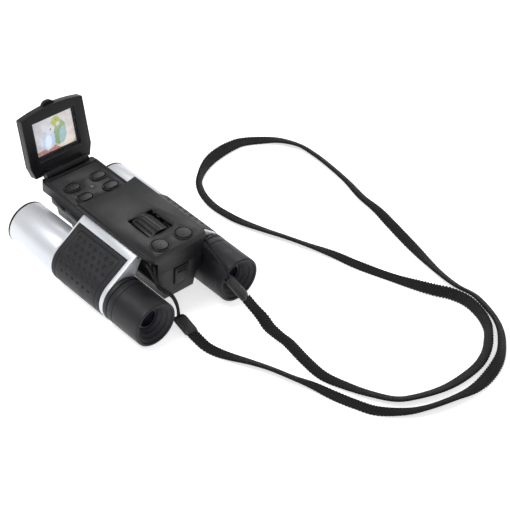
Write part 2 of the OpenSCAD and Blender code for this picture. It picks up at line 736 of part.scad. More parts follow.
module image_sensor() color([0.1, 0.3, 0.2]) {
    y = y_shroud1 - 1 - camera_len;
    box(-6.5, 6.5, y - 1.2, y - 0.05, camera_z - 6.5, camera_z + 6.5);
    box(-4, 4, y - 0.05, y + 1.2, camera_z - 3, camera_z + 3);
}

// Frame that ties the two wing hinges, the bearings and the casing together
module hinge_bridge() color("gray") {
    rail0 = wheel_z - 3.4;
    rail1 = wheel_z - 0.6;
    y0 = y_wheel0 - 6.6;
    y1 = arm_stations[2][1];
    rail_x = wall_x - case_wall;
    both() box(rail_x - 3.2, rail_x, y0, y1, rail0, rail1);
    difference() {
        union() {
            box(-rail_x + 3, rail_x - 3, y0, y_wheel0 - 1.6, rail0, wheel_z + 4.4);
            box(-rail_x + 3, rail_x - 3, arm_stations[2][0], y1, rail0, wheel_z + 4.4);
        }
        rod(0, wheel_z, screw_r + run_gap, y0 - 1, y1 + 1);
    }
    both() for (i = [0, 2]) {
        a = arm_stations[i][0];
        b = arm_stations[i][1];
        difference() {
            union() {
                box(rail_x - 3.2, rail_x, a, b, rail0, az + 1.4);
                box(rail_x - 3, ax, a, b, az - 1.4, az + 1.4);
                rod(ax, az, bridge_r, a, b);
            }
            rod(ax, az, pin_r, a - 1, b + 1);
        }
    }
}

module hinge_pins() color("lightgray") {
    both() {
        rod(ax, az, pin_r, y_wing0 + 0.3, arm_stations[0][1]);
        rod(ax, az, pin_r, arm_stations[2][0], y_wing1 - 0.3);
    }
    translate([-lid_knuckle_w / 2 - 4.2, y_hinge, z_hinge]) rotate([0, 90, 0])
        cylinder(r = lid_pin_r, h = lid_knuckle_w + 8.4);
}

// Main board with its four dome switches
module main_board() color([0.1, 0.35, 0.2]) {
    difference() {
        box(-board_x, board_x, y_wing1 - 6, y_front - 8.4, board_z, board_z + board_t);
        both() translate([posts[1][0], posts[1][1], board_z - 1]) cylinder(r = post_r + 0.3, h = 4);
    }
    key_places() plate(board_z + board_t - 0.1, board_z + board_t + switch_h) circle(2.4);
}

module rear_switch_board() color([0.1, 0.35, 0.2]) {
    z = deck_z - 6.2;
    box(-board_x, board_x, y_body0 + 2.4, y_wheel0 - 2.2, z, z + 1.2);
    for (s = [-1, 1]) translate([s * deck_key_x, y_deck_keys, z + 1.2]) cylinder(r = 2.4, h = 1.2);
}

module status_light() color([0.3, 0.05, 0.05])
    translate([0, (y_keys_front + y_keys_rear) / 2, board_z + board_t]) {
        cylinder(r = 1.8, h = panel_z - board_z - board_t - 0.6);
        cylinder(r = 1.5, h = panel_z - board_z - board_t + 0.2);
    }

module battery_cells() color([0.3, 0.32, 0.35]) for (s = [-1, 1]) {
    x = s * (cell_d / 2 + 0.3);
    rod(x, cell_z, cell_d / 2, y_cell0, y_cell0 + cell_len - 1);
    rod(x, cell_z, 1.9, s > 0 ? y_cell0 - 1 : y_cell0 + cell_len - 1, s > 0 ? y_cell0 : y_cell0 + cell_len);
}

module battery_contacts() color("silver") {
    box(-10, 10, y_cell0 - 1.5, y_cell0 - 1, cell_z - 3.6, cell_z + 3.6);
    for (s = [-1, 1]) {
        x = s * (cell_d / 2 + 0.3);
        box(x - 3.4, x + 3.4, y_bay1 - 1.4, y_bay1 - 0.9, cell_z - 3.4, cell_z + 3.4);
        if (s > 0)
            tube(x, cell_z, 2.6, 2, y_cell0 + cell_len - 0.9, y_bay1 - 1.4);
        else
            tube(x, cell_z, 1.6, 1, y_cell0 + cell_len + 0.05, y_bay1 - 1.4);
    }
}

module battery_door() color([0.17, 0.17, 0.18]) {
    box(-door_half, door_half, y_cell0 - 2, y_bay1, belly_z, belly_z + door_t);
    for (s = [-1, 0, 1]) box(-5, 5, y_bay1 - 5 + s * 1.2, y_bay1 - 4.5 + s * 1.2, belly_z - 0.4, belly_z + 0.1);
}

module tripod_socket() color("silver") difference() {
    translate([0, y_tripod, belly_z]) cylinder(r = tripod_d / 2, h = tripod_depth + 1);
    translate([0, y_tripod, belly_z - 1]) cylinder(r = tripod_bore / 2, h = tripod_depth + 1);
}

module usb_socket() color("silver") difference() {
    box(usb_x - 4, usb_x + 4, y_body0 + 1.7, y_body0 + 10, usb_z - 2, usb_z + 2);
    box(usb_x - 3.6, usb_x + 3.6, y_body0 + 1, y_body0 + 8, usb_z - 1.6, usb_z + 1.6);
}

module usb_cover() color([0.13, 0.13, 0.13]) {
    box(usb_x - 6, usb_x + 6, y_body0 - 0.6, y_body0 + 0.9, usb_z - 7.7, usb_z + 4.9);
    for (z = [0.4, 2.4]) box(usb_x - 3, usb_x + 3, y_body0 - 1.2, y_body0 - 0.6, usb_z + z, usb_z + z + 0.8);
    box(usb_x - 3.4, usb_x + 3.4, y_body0 + 0.8, y_body0 + 1.6, usb_z - 1.4, usb_z + 1.4);
}

module strap_lugs() color("dimgray") both() {
    translate([ax, lug_y, az]) cylinder(r = 1.1, h = deck_z - deck_edge_t - az - 0.05);
    translate([wall_x, lug_y, az]) rotate([0, 90, 0]) cylinder(r = 1.1, h = ax - wall_x);
    translate([ax, lug_y, az]) sphere(1.1, $fn = 32);
}

// ---- controls ------------------------------------------------------------

module focus_wheel() color([0.14, 0.14, 0.15]) difference() {
    rod(0, wheel_z, wheel_r, y_wheel0, y_wheel1);
    for (a = [0 : 15 : 345])
        rod((wheel_r + 0.5) * cos(a), wheel_z + (wheel_r + 0.5) * sin(a), 1.1, y_wheel0 + 1.2, y_wheel1 - 1.2);
    rod(0, wheel_z, screw_r, y_wheel0 - 1, y_wheel1 + 1);
}

module focus_screw() color("lightgray")
    rod(0, wheel_z, screw_r, y_wheel0 - 6.4, arm_stations[2][1]);

module focus_carriage() color("gray") {
    difference() {
        box(-5, 5, y_carriage - carriage_half, y_carriage + carriage_half, wheel_z - 3.6, az + 1);
        rod(0, wheel_z, screw_r + run_gap, y_carriage - 5, y_carriage + 5);
    }
    both() for (s = [-1, 1]) {
        a = y_carriage + (s > 0 ? spool_gap / 2 : -spool_gap / 2 - spool_flange);
        box(5, ax, a, a + spool_flange, az - 1, az + 1);
        rod(ax, az, 1.8, a, a + spool_flange);
    }
    both() rod(ax, az, pin_r, y_carriage - spool_gap / 2, y_carriage + spool_gap / 2);
}

module panel_key(x, y) translate([x, y]) {
    plate(panel_z - case_wall - 0.15, panel_z + button_proud) oval(oval_w, oval_d);
    plate(panel_z - case_wall - 0.15 - flange_t, panel_z - case_wall - 0.15) oval(oval_w + 1.6, oval_d + 1.6);
    plate(board_z + board_t + switch_h + button_travel + 0.1, panel_z - case_wall - 0.15) circle(1.6);
}

module deck_key(x) translate([x, y_deck_keys]) {
    plate(deck_z - case_wall - 0.15, deck_z + button_proud) circle(deck_button_d / 2);
    plate(deck_z - case_wall - 1.15, deck_z - case_wall - 0.15) circle(deck_button_d / 2 + 0.8);
    plate(deck_z - 3.8 + button_travel + 0.1, deck_z - case_wall) circle(1.6);
}

module menu_button() color([0.2, 0.2, 0.21]) panel_key(-key_x, y_keys_front);
module mode_button() color([0.2, 0.2, 0.21]) panel_key(key_x, y_keys_front);
module up_button() color([0.2, 0.2, 0.21]) panel_key(-key_x, y_keys_rear);
module down_button() color([0.2, 0.2, 0.21]) panel_key(key_x, y_keys_rear);
module record_button() color([0.2, 0.2, 0.21]) deck_key(-deck_key_x);
module snap_button() color([0.2, 0.2, 0.21]) deck_key(deck_key_x);

// ---- screen lid ----------------------------------------------------------

// Draws in the lid's own frame: X across, Y away from its face, Z up the lid
module on_lid() {
    translate([0, y_hinge, z_hinge]) rotate([-lid_lean, 0, 0]) children();
}

module lid_outline(inset) {
    x = lid_w / 2 - inset;
    x0 = x - 2.6;
    rr = (x * x + lid_arch * lid_arch) / (2 * lid_arch);
    polygon([[-x0, -1 + inset], [x0, -1 + inset], [x, 7], [x, lid_h - inset], [-x, lid_h - inset], [-x, 7]]);
    intersection() {
        translate([0, lid_h + lid_arch - rr - inset]) circle(rr, $fn = 180);
        translate([-x, lid_h - inset - 1]) square([2 * x, lid_arch + 1]);
    }
}

module lid_plate(a, b) {
    translate([0, lid_offset + b, 0]) rotate([90, 0, 0]) linear_extrude(b - a) children();
}

module screen_area(grow) {
    translate([-screen_w / 2 - grow, screen_low - grow]) square([screen_w + 2 * grow, screen_h + 2 * grow]);
}

module lid_frame() color([0.15, 0.15, 0.16]) on_lid() {
    difference() {
        union() {
            lid_plate(0, lid_t - 1.6) lid_outline(0);
            rotate([0, 90, 0]) translate([0, 0, -lid_knuckle_w / 2]) cylinder(r = lid_knuckle_r, h = lid_knuckle_w);
            box(-lid_knuckle_w / 2, lid_knuckle_w / 2, 0.6, lid_offset + 1, -0.8, 2.4);
        }
        lid_plate(-1, screen_recess + 0.1) screen_area(0.6);
        lid_plate(screen_recess, lid_t) screen_area(2);
        lid_plate(lid_t - 3, lid_t) lid_outline(1.6);
        rotate([0, 90, 0]) translate([0, 0, -30]) cylinder(r = lid_pin_r + run_gap, h = 60);
    }
}

module lid_back() color([0.15, 0.15, 0.16]) on_lid() difference() {
    union() {
        lid_plate(lid_t - 1.58, lid_t) lid_outline(0);
        lid_plate(bump0, lid_t) intersection() {
            translate([-5, lid_h + lid_arch - 1]) square([10, lid_bump + 1]);
            translate([0, lid_h + lid_arch - 3]) circle(5.6);
        }
    }
    lid_plate(bump0 - 1, lid_t - 1.58) lid_outline(-0.05);
}

module screen_panel() color([0.3, 0.35, 0.45]) on_lid()
    lid_plate(screen_recess + 0.9, lid_t - 1.7) screen_area(1.6);

module screen_window() color([0.8, 0.85, 0.9, 0.5]) on_lid()
    lid_plate(screen_recess + 0.1, screen_recess + 0.9) screen_area(1.8);

// ---- strap ---------------------------------------------------------------

// Height of the strap's middle when it rests on the surface with this roll
function rest_z(roll) = strap_t / 2 * abs(cos(roll)) + strap_w / 2 * abs(sin(roll)) + 0.05;

strap_path = concat(
    strap_lead_a,
    [for (p = strap_floor) [p[0], p[1], rest_z(p[2]), p[2]]],
    strap_lead_b
);

function xyz(p) = [p[0], p[1], p[2]];
function unit(v) = v / norm(v);
function heading(path, i) = unit(
    xyz(path[min(i + 1, len(path) - 1)]) - xyz(path[max(i - 1, 0)]));
function side_of(t) = unit([-t[1], t[0], 0]);

// Tube swept along a path; each point may carry a roll about its heading
module sweep(path, section) {
    n = len(section);
    rings = len(path);
    points = [
        for (i = [0 : rings - 1])
            let(
                t = heading(path, i),
                s = side_of(t),
                u = cross(t, s),
                roll = len(path[i]) > 3 ? path[i][3] : 0,
                w = cos(roll) * s + sin(roll) * u,
                h = cos(roll) * u - sin(roll) * s
            )
            for (q = section) xyz(path[i]) + q[0] * w + q[1] * h
    ];
    faces = concat(
        [[for (k = [n - 1 : -1 : 0]) k]],
        [[for (k = [0 : n - 1]) (rings - 1) * n + k]],
        [
            for (i = [0 : rings - 2], k = [0 : n - 1])
                let(a = i * n + k, b = i * n + (k + 1) % n)
                each [[a, b, b + n], [a, b + n, a + n]]
        ]
    );
    polyhedron(points, faces, convexity = 10);
}

function flat_section(w, t) = [
    [w / 2, -t / 4], [w / 2, t / 4], [w / 2 - t / 3, t / 2], [-w / 2 + t / 3, t / 2],
    [-w / 2, t / 4], [-w / 2, -t / 4], [-w / 2 + t / 3, -t / 2], [w / 2 - t / 3, -t / 2]
];
function round_section(r) = [for (k = [0 : 7]) r * dir(45 * k + 22.5)];

// Loop point moved by its share of the lug's shift
function hung(p, side) = xyz(p) + p[3] * [side * lug_shift[0], lug_shift[1], lug_shift[2]];

module strap() color([0.1, 0.1, 0.1]) translate([0, strap_y, 0])
    sweep(strap_path, flat_section(strap_w, strap_t));

module strap_sleeves() color([0.12, 0.12, 0.12]) translate([0, strap_y, 0])
    for (s = [sleeve_a, sleeve_b]) sweep(s, flat_section(sleeve_w, sleeve_t));

module strap_loops() color([0.1, 0.1, 0.1]) translate([0, strap_y, 0]) {
    sweep([for (p = loop_a) hung(p, 1)], round_section(loop_d / 2));
    sweep([for (p = loop_b) hung(p, -1)], round_section(loop_d / 2));
}

top_cover();
bottom_cover();
camera_shroud();
hinge_bridge();
hinge_pins();
main_board();
rear_switch_board();
status_light();
camera_barrel();
camera_lens();
camera_ring();
image_sensor();
battery_cells();
battery_contacts();
battery_door();
tripod_socket();
usb_socket();
usb_cover();
strap_lugs();
case_screws();
focus_wheel();
focus_screw();
focus_carriage();
menu_button();
mode_button();
up_button();
down_button();
record_button();
snap_button();
lid_frame();
lid_back();
screen_panel();
screen_window();
wing_shell_right();
wing_shell_left();
grip_right();
grip_left();
objective_tube_right();
objective_tube_left();
front_ring_right();
front_ring_left();
objective_lens_right();
objective_lens_left();
prism_holder_right();
prism_holder_left();
prisms_right();
prisms_left();
focus_cell_right();
focus_cell_left();
eyepiece_right();
eyepiece_left();
eye_lenses_right();
eye_lenses_left();
eyecup_right();
eyecup_left();
dioptre_ring();
base_ring_left();
strap();
strap_sleeves();
strap_loops();
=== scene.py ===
"""Pocket binoculars with a built-in camera and a flip-up screen: the visual model and its studio."""
import logging
import math
from dataclasses import dataclass, field
from enum import Enum
from typing import Union

import bmesh
import bpy
from mathutils import Matrix, Vector


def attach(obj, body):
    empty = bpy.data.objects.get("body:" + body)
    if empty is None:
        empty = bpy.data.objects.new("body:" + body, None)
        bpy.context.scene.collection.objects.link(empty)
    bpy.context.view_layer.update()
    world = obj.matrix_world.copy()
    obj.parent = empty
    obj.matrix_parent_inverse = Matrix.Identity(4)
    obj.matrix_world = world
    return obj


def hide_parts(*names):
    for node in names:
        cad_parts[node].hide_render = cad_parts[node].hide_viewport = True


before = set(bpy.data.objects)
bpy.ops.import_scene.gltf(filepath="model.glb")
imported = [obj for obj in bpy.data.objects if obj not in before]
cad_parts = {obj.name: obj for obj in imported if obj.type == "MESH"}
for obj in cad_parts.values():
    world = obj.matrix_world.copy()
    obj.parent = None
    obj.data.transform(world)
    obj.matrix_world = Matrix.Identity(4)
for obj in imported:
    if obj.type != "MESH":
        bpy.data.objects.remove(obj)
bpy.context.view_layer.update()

MM = 0.001
log = logging.getLogger("binoculars")

Socket = bpy.types.NodeSocket
Value = Union[Socket, float, tuple]


class Side(Enum):
    """The two halves of the binoculars."""

    RIGHT = 1
    LEFT = -1

    @property
    def word(self) -> str:
        """The side's name as the nodes spell it."""
        return self.name.lower()

    @property
    def cup_body(self) -> str:
        """The body that the side's eyecup turns with."""
        return "dioptre" if self is Side.RIGHT else "wing_left"


# ---- materials ------------------------------------------------------------


class Graph:
    """A material's node tree, with short calls for the nodes that the finishes share."""

    def __init__(self, name: str) -> None:
        """Starts a material with an empty tree and one shader.

        Args:
            name: The material's name.
        """
        self.material = bpy.data.materials.new(name)
        self.material.use_nodes = True
        self.tree = self.material.node_tree
        self.tree.nodes.clear()
        self.shader = self.node("ShaderNodeBsdfPrincipled")
        output = self.node("ShaderNodeOutputMaterial")
        self.tree.links.new(self.shader.outputs[0], output.inputs[0])

    def node(self, kind: str, **settings) -> bpy.types.Node:
        """Adds a node.

        Args:
            kind: Its Blender type.
            settings: Its properties.

        Returns:
            The node.
        """
        made = self.tree.nodes.new(kind)
        for key, value in settings.items():
            setattr(made, key, value)
        return made

    def feed(self, socket: Socket, value: Value) -> None:
        """Links a socket to an output, or sets its constant.

        Args:
            socket: The input.
            value: An output socket, a number or a colour.
        """
        if isinstance(value, Socket):
            self.tree.links.new(value, socket)
            return
        opaque = isinstance(value, tuple) and len(value) == 3 and len(socket.default_value) == 4
        socket.default_value = (*value, 1.0) if opaque else value

    def set(self, **constants: Value) -> None:
        """Sets the shader's own sockets, spelled with _ for a space."""
        for key, value in constants.items():
            self.feed(self.shader.inputs[key.replace("_", " ")], value)

    def math(self, how: str, a: Value, b: Value = 0.0) -> Socket:
        """Adds a Math node.

        Args:
            how: Its operation.
            a: Its first input.
            b: Its second input.

        Returns:
            Its output.
        """
        made = self.node("ShaderNodeMath", operation=how)
        self.feed(made.inputs[0], a)
        self.feed(made.inputs[1], b)
        return made.outputs[0]

    def mix(self, share: Value, a: Value, b: Value) -> Socket:
        """Mixes two colours.

        Args:
            share: How much of the second colour is in the mix, from 0 to 1.
            a: The first colour.
            b: The second colour.

        Returns:
            The mixed colour.
        """
        made = self.node("ShaderNodeMix", data_type="RGBA")
        self.feed(made.inputs[0], share)
        self.feed(made.inputs[6], a)
        self.feed(made.inputs[7], b)
        return made.outputs[2]

    def span(self, value: Value, low: float, high: float, to_low: float = 0.0,
             to_high: float = 1.0) -> Socket:
        """Carries a value smoothly from one range to another and holds it at its ends.

        Args:
            value: The value.
            low: Where the first range starts.
            high: Where it ends.
            to_low: What the start becomes.
            to_high: What the end becomes.

        Returns:
            The new value.
        """
        made = self.node("ShaderNodeMapRange", interpolation_type="SMOOTHSTEP")
        for k, v in enumerate((value, low, high, to_low, to_high)):
            self.feed(made.inputs[k], v)
        return made.outputs[0]

    def place(self, centre: tuple = (0.0, 0.0, 0.0), turn: tuple = (0.0, 0.0, 0.0),
              size: tuple = (1.0, 1.0, 1.0)) -> Socket:
        """Reads object coordinates in a frame of their own.

        Args:
            centre: The frame's centre in metres.
            turn: Its turn in radians.
            size: Its unit along each axis in metres.

        Returns:
            The coordinates.
        """
        made = self.node("ShaderNodeMapping", vector_type="TEXTURE")
        self.feed(made.inputs[0], self.node("ShaderNodeTexCoord").outputs["Object"])
        made.inputs[1].default_value = centre
        made.inputs[2].default_value = turn
        made.inputs[3].default_value = size
        return made.outputs[0]

    def noise(self, size: float, detail: float = 2.0, stretch: tuple = (1.0, 1.0, 1.0),
              vector: Socket | None = None) -> Socket:
        """Adds a noise pattern.

        Args:
            size: Its grain in metres.
            detail: Its octaves.
            stretch: How many times longer the grain is along each axis.
            vector: Coordinates to read instead of the object's.

        Returns:
            The pattern, from 0 to 1.
        """
        made = self.node("ShaderNodeTexNoise")
        self.feed(made.inputs["Vector"], vector or self.place(size=stretch))
        made.inputs["Scale"].default_value = 1.0 / size
        made.inputs["Detail"].default_value = detail
        return made.outputs[0]

    def bump(self, height: Value, depth: float, normal: Socket | None = None) -> Socket:
        """Turns a height pattern into a normal.

        Args:
            height: The pattern, from 0 to 1.
            depth: How deep it is in metres.
            normal: The normal that it is laid on.

        Returns:
            The new normal.
        """
        made = self.node("ShaderNodeBump")
        made.inputs["Distance"].default_value = depth
        self.feed(made.inputs["Height"], height)
        if normal is not None:
            self.feed(made.inputs["Normal"], normal)
        return made.outputs[0]

    def round_edge(self, radius: float) -> tuple:
        """Rounds sharp edges in the shading.

        Args:
            radius: The rounding's radius in metres.

        Returns:
            The rounded normal, and how near an edge a point is, from 0 to 1.
        """
        bevel = self.node("ShaderNodeBevel", samples=6)
        bevel.inputs[0].default_value = radius
        turn = self.node("ShaderNodeVectorMath", operation="DOT_PRODUCT")
        self.feed(turn.inputs[0], bevel.outputs[0])
        self.feed(turn.inputs[1], self.node("ShaderNodeNewGeometry").outputs["Normal"])
        return bevel.outputs[0], self.span(turn.outputs["Value"], 0.985, 0.86)


@dataclass(frozen=True)
class Finish:
    """A surface finish, made once and shared by the pieces that have it."""

    name: str
    colour: tuple = (0.02, 0.02, 0.022)
    roughness: float = 0.5

    def dress(self, graph: Graph) -> None:
        """Builds the finish's nodes in a graph.

        Args:
            graph: The material's nodes.
        """
        raise NotImplementedError

    def tone(self, strength: float) -> tuple:
        """Returns the finish's colour made brighter or darker by a factor."""
        return tuple(min(1.0, c * strength) for c in self.colour)

    def material(self) -> bpy.types.Material:
        """Gives the finish's material, made on first use.

        Returns:
            The material.
        """
        found = bpy.data.materials.get(self.name)
        if found is None:
            graph = Graph(self.name)
            self.dress(graph)
            found = graph.material
        return found


@dataclass(frozen=True)
class Moulded(Finish):
    """Injection-moulded plastic with a spark-eroded grain and paler edges that are partly scuffing and partly a painted
    highlight.
    """

    grain: float = 0.00045
    depth: float = 0.00004
    edge: float = 0.0004
    # How much paler the edges are: partly scuffing, partly a painted highlight.
    edge_tone: float = 1.9

    def dress(self, graph: Graph) -> None:
        """Builds the plastic: cloudy colour, fine grain, rounded edges, and paler edges that are partly scuffing and
        partly a painted highlight.

        Args:
            graph: The material's nodes.
        """
        rounded, near = graph.round_edge(self.edge)
        cloud = graph.noise(0.018, 3.0)
        fine = graph.noise(self.grain, 2.0)
        dark = self.tone(0.86)
        pale = self.tone(1.16)
        # The paler edge colour and its mask: partly scuffing, partly a painted highlight along the edges.
        edge_wear_and_highlight_colour = self.tone(self.edge_tone)
        base = graph.mix(graph.span(cloud, 0.35, 0.65), dark, pale)
        edge_wear_and_highlight_mask = graph.math("MULTIPLY", near, graph.span(graph.noise(0.004, 3.0), 0.3, 0.7, 0.35, 0.8))
        rough = graph.span(graph.math("ADD", cloud, graph.math("MULTIPLY", fine, 0.35)), 0.4, 0.95,
                           self.roughness - 0.06, self.roughness + 0.08)
        graph.set(Base_Color=graph.mix(edge_wear_and_highlight_mask, base, edge_wear_and_highlight_colour), Roughness=rough,
                  Normal=graph.bump(fine, self.depth, rounded), Specular_IOR_Level=0.32)


@dataclass(frozen=True)
class Rubber(Finish):
    """Soft rubber: a powdery bloom, a velvet sheen and faint mould speckle."""

    speckle: float = 0.0007

    def dress(self, graph: Graph) -> None:
        """Builds the rubber: bloom in patches, speckle in the bump, a painted highlight along the edges, sheen at
        grazing angles.

        Args:
            graph: The material's nodes.
        """
        rounded, near = graph.round_edge(0.0005)
        bloom = graph.noise(0.009, 4.0)
        fine = graph.noise(self.speckle, 3.0)
        pale = self.tone(1.5)
        base = graph.mix(graph.span(bloom, 0.38, 0.72, 0.0, 0.55), self.colour, pale)
        # Paler along the edges: a painted highlight.
        graph.set(Base_Color=graph.mix(graph.math("MULTIPLY", near, 0.5), base, self.tone(1.9)),
                  Roughness=graph.span(bloom, 0.3, 0.7, self.roughness - 0.05, self.roughness + 0.1),
                  Normal=graph.bump(fine, 0.00005, rounded),
                  Sheen_Weight=0.06, Sheen_Roughness=0.4, Specular_IOR_Level=0.36)


@dataclass(frozen=True)
class SatinPaint(Finish):
    """Silver lacquer with metal flake over plastic."""

    def dress(self, graph: Graph) -> None:
        """Builds the lacquer: flake sparkle, orange peel and slightly darker worn edges.

        Args:
            graph: The material's nodes.
        """
        rounded, near = graph.round_edge(0.0005)
        flake = graph.noise(0.00028, 1.0)
        peel = graph.noise(0.0022, 2.0)
        soft = graph.noise(0.03, 2.0)
        base = graph.mix(graph.span(flake, 0.3, 0.7), self.tone(0.93), self.colour)
        edge_tone = graph.math("MULTIPLY", near, graph.span(peel, 0.4, 0.7, 0.1, 0.5))
        graph.set(Base_Color=graph.mix(edge_tone, base, self.tone(0.7)), Metallic=0.35,
                  Roughness=graph.span(graph.math("ADD", soft, graph.math("MULTIPLY", flake, 0.3)), 0.4, 0.9,
                                       self.roughness - 0.05, self.roughness + 0.07),
                  Normal=graph.bump(peel, 0.000005, rounded), Coat_Weight=0.2, Coat_Roughness=0.18)


@dataclass(frozen=True)
class Turned(Finish):
    """Machined metal with fine tool lines round its axis."""

    lines: tuple = (40.0, 1.0, 40.0)

    def dress(self, graph: Graph) -> None:
        """Builds the metal: tool lines across the axis, faint stains and a painted highlight along the edges.

        Args:
            graph: The material's nodes.
        """
        rounded, near = graph.round_edge(0.0003)
        cut = graph.noise(0.00025, 2.0, self.lines)
        stain = graph.noise(0.006, 4.0)
        base = graph.mix(graph.span(stain, 0.35, 0.75, 0.0, 0.5), self.colour, self.tone(0.6))
        # Brighter along the edges: a painted highlight.
        graph.set(Base_Color=graph.mix(near, base, self.tone(1.25)), Metallic=0.95,
                  Roughness=graph.span(cut, 0.3, 0.7, self.roughness - 0.08, self.roughness + 0.1),
                  Normal=graph.bump(cut, 0.00002, rounded))


@dataclass(frozen=True)
class CoatedGlass(Finish):
    """Lens glass with a violet anti-reflection coating over a dark barrel."""

    def dress(self, graph: Graph) -> None:
        """Builds the glass: a dark body whose coating shifts from violet to blue at the edge.

        Args:
            graph: The material's nodes.
        """
        facing = graph.node("ShaderNodeLayerWeight")
        facing.inputs[0].default_value = 0.35
        dust = graph.noise(0.0011, 3.0)
        tint = graph.mix(graph.span(facing.outputs["Facing"], 0.05, 0.7), self.colour, (0.010, 0.010, 0.022))
        graph.set(Base_Color=graph.mix(graph.span(dust, 0.66, 0.85, 0.0, 0.06), tint, (0.3, 0.3, 0.36)),
                  Roughness=graph.span(dust, 0.5, 0.8, self.roughness, self.roughness + 0.05),
                  Normal=graph.bump(graph.noise(0.02, 1.0), 0.00001),
                  Coat_Weight=1.0, Coat_Roughness=0.02, Coat_Tint=(0.85, 0.78, 1.0, 1.0),
                  Specular_IOR_Level=0.6)


@dataclass(frozen=True)
class ClearSheet(Finish):
    """Thin clear plastic or glass, seen through with a light film of dust."""

    alpha: float = 0.1

    def dress(self, graph: Graph) -> None:
        """Builds the clear sheet: almost no body, a gloss and a little dust.

        Args:
            graph: The material's nodes.
        """
        dust = graph.noise(0.003, 4.0)
        graph.set(Base_Color=graph.mix(graph.span(dust, 0.5, 0.8), self.colour, (0.9, 0.9, 0.92)),
                  Alpha=self.alpha, Normal=graph.bump(dust, 0.00001),
                  Roughness=graph.span(dust, 0.4, 0.8, self.roughness, self.roughness + 0.1))


@dataclass(frozen=True)
class Webbing(Finish):
    """Flat braid: crossing yarns on the piece's own map, in millimetres along and round it."""

    across: float = 8.8
    depth: float = 0.0011

    def dress(self, graph: Graph) -> None:
        """Builds the braid: chevrons of yarn, each with its fibres, and fuzz over all, with painted highlight on the
        yarn crowns and painted shade in the valleys between yarns.

        Args:
            graph: The material's nodes.
        """
        uv = graph.node("ShaderNodeUVMap", uv_map="weave").outputs[0]
        part = graph.node("ShaderNodeSeparateXYZ")
        graph.feed(part.inputs[0], uv)
        along, round_ = part.outputs[0], part.outputs[1]
        fold = graph.math("PINGPONG", round_, self.across / 4)
        lean = graph.math("MULTIPLY", fold, 0.9)
        yarn = graph.math("PINGPONG", graph.math("ADD", along, lean), 0.75)
        crown = graph.span(yarn, 0.0, 0.75)
        valley = graph.span(fold, 0.0, 0.22)
        relief = graph.math("MULTIPLY", crown, graph.math("MAXIMUM", valley, 0.25))
        fibre = graph.noise(0.16, 2.0, vector=uv)
        # Colour follows the yarn height: painted highlight on the crowns, painted shade in the valleys.
        base = graph.mix(graph.span(graph.math("MULTIPLY", relief, fibre), 0.05, 0.6), self.tone(0.3),
                         self.tone(3.2))
        height = graph.math("ADD", relief, graph.math("MULTIPLY", fibre, 0.3))
        graph.set(Base_Color=base, Normal=graph.bump(height, self.depth),
                  Roughness=graph.span(fibre, 0.2, 0.8, self.roughness - 0.1, self.roughness + 0.1),
                  Sheen_Weight=0.03, Sheen_Roughness=0.35, Specular_IOR_Level=0.3)


@dataclass(frozen=True)
class Leather(Finish):
    """Smooth dark leatherette with shallow cells."""

    def dress(self, graph: Graph) -> None:
        """Builds the leatherette: rounded cells in the bump, scuffs and soft gloss.

        Args:
            graph: The material's nodes.
        """
        cells = graph.node("ShaderNodeTexVoronoi", feature="SMOOTH_F1")
        graph.feed(cells.inputs["Vector"], graph.place())
        cells.inputs["Scale"].default_value = 1100.0
        scuff = graph.noise(0.003, 4.0, (1.0, 3.0, 1.0))
        base = graph.mix(graph.span(scuff, 0.5, 0.75, 0.0, 0.6), self.colour, self.tone(2.2))
        graph.set(Base_Color=base, Normal=graph.bump(cells.outputs[0], 0.00008),
                  Roughness=graph.span(scuff, 0.3, 0.7, self.roughness - 0.08, self.roughness + 0.12))


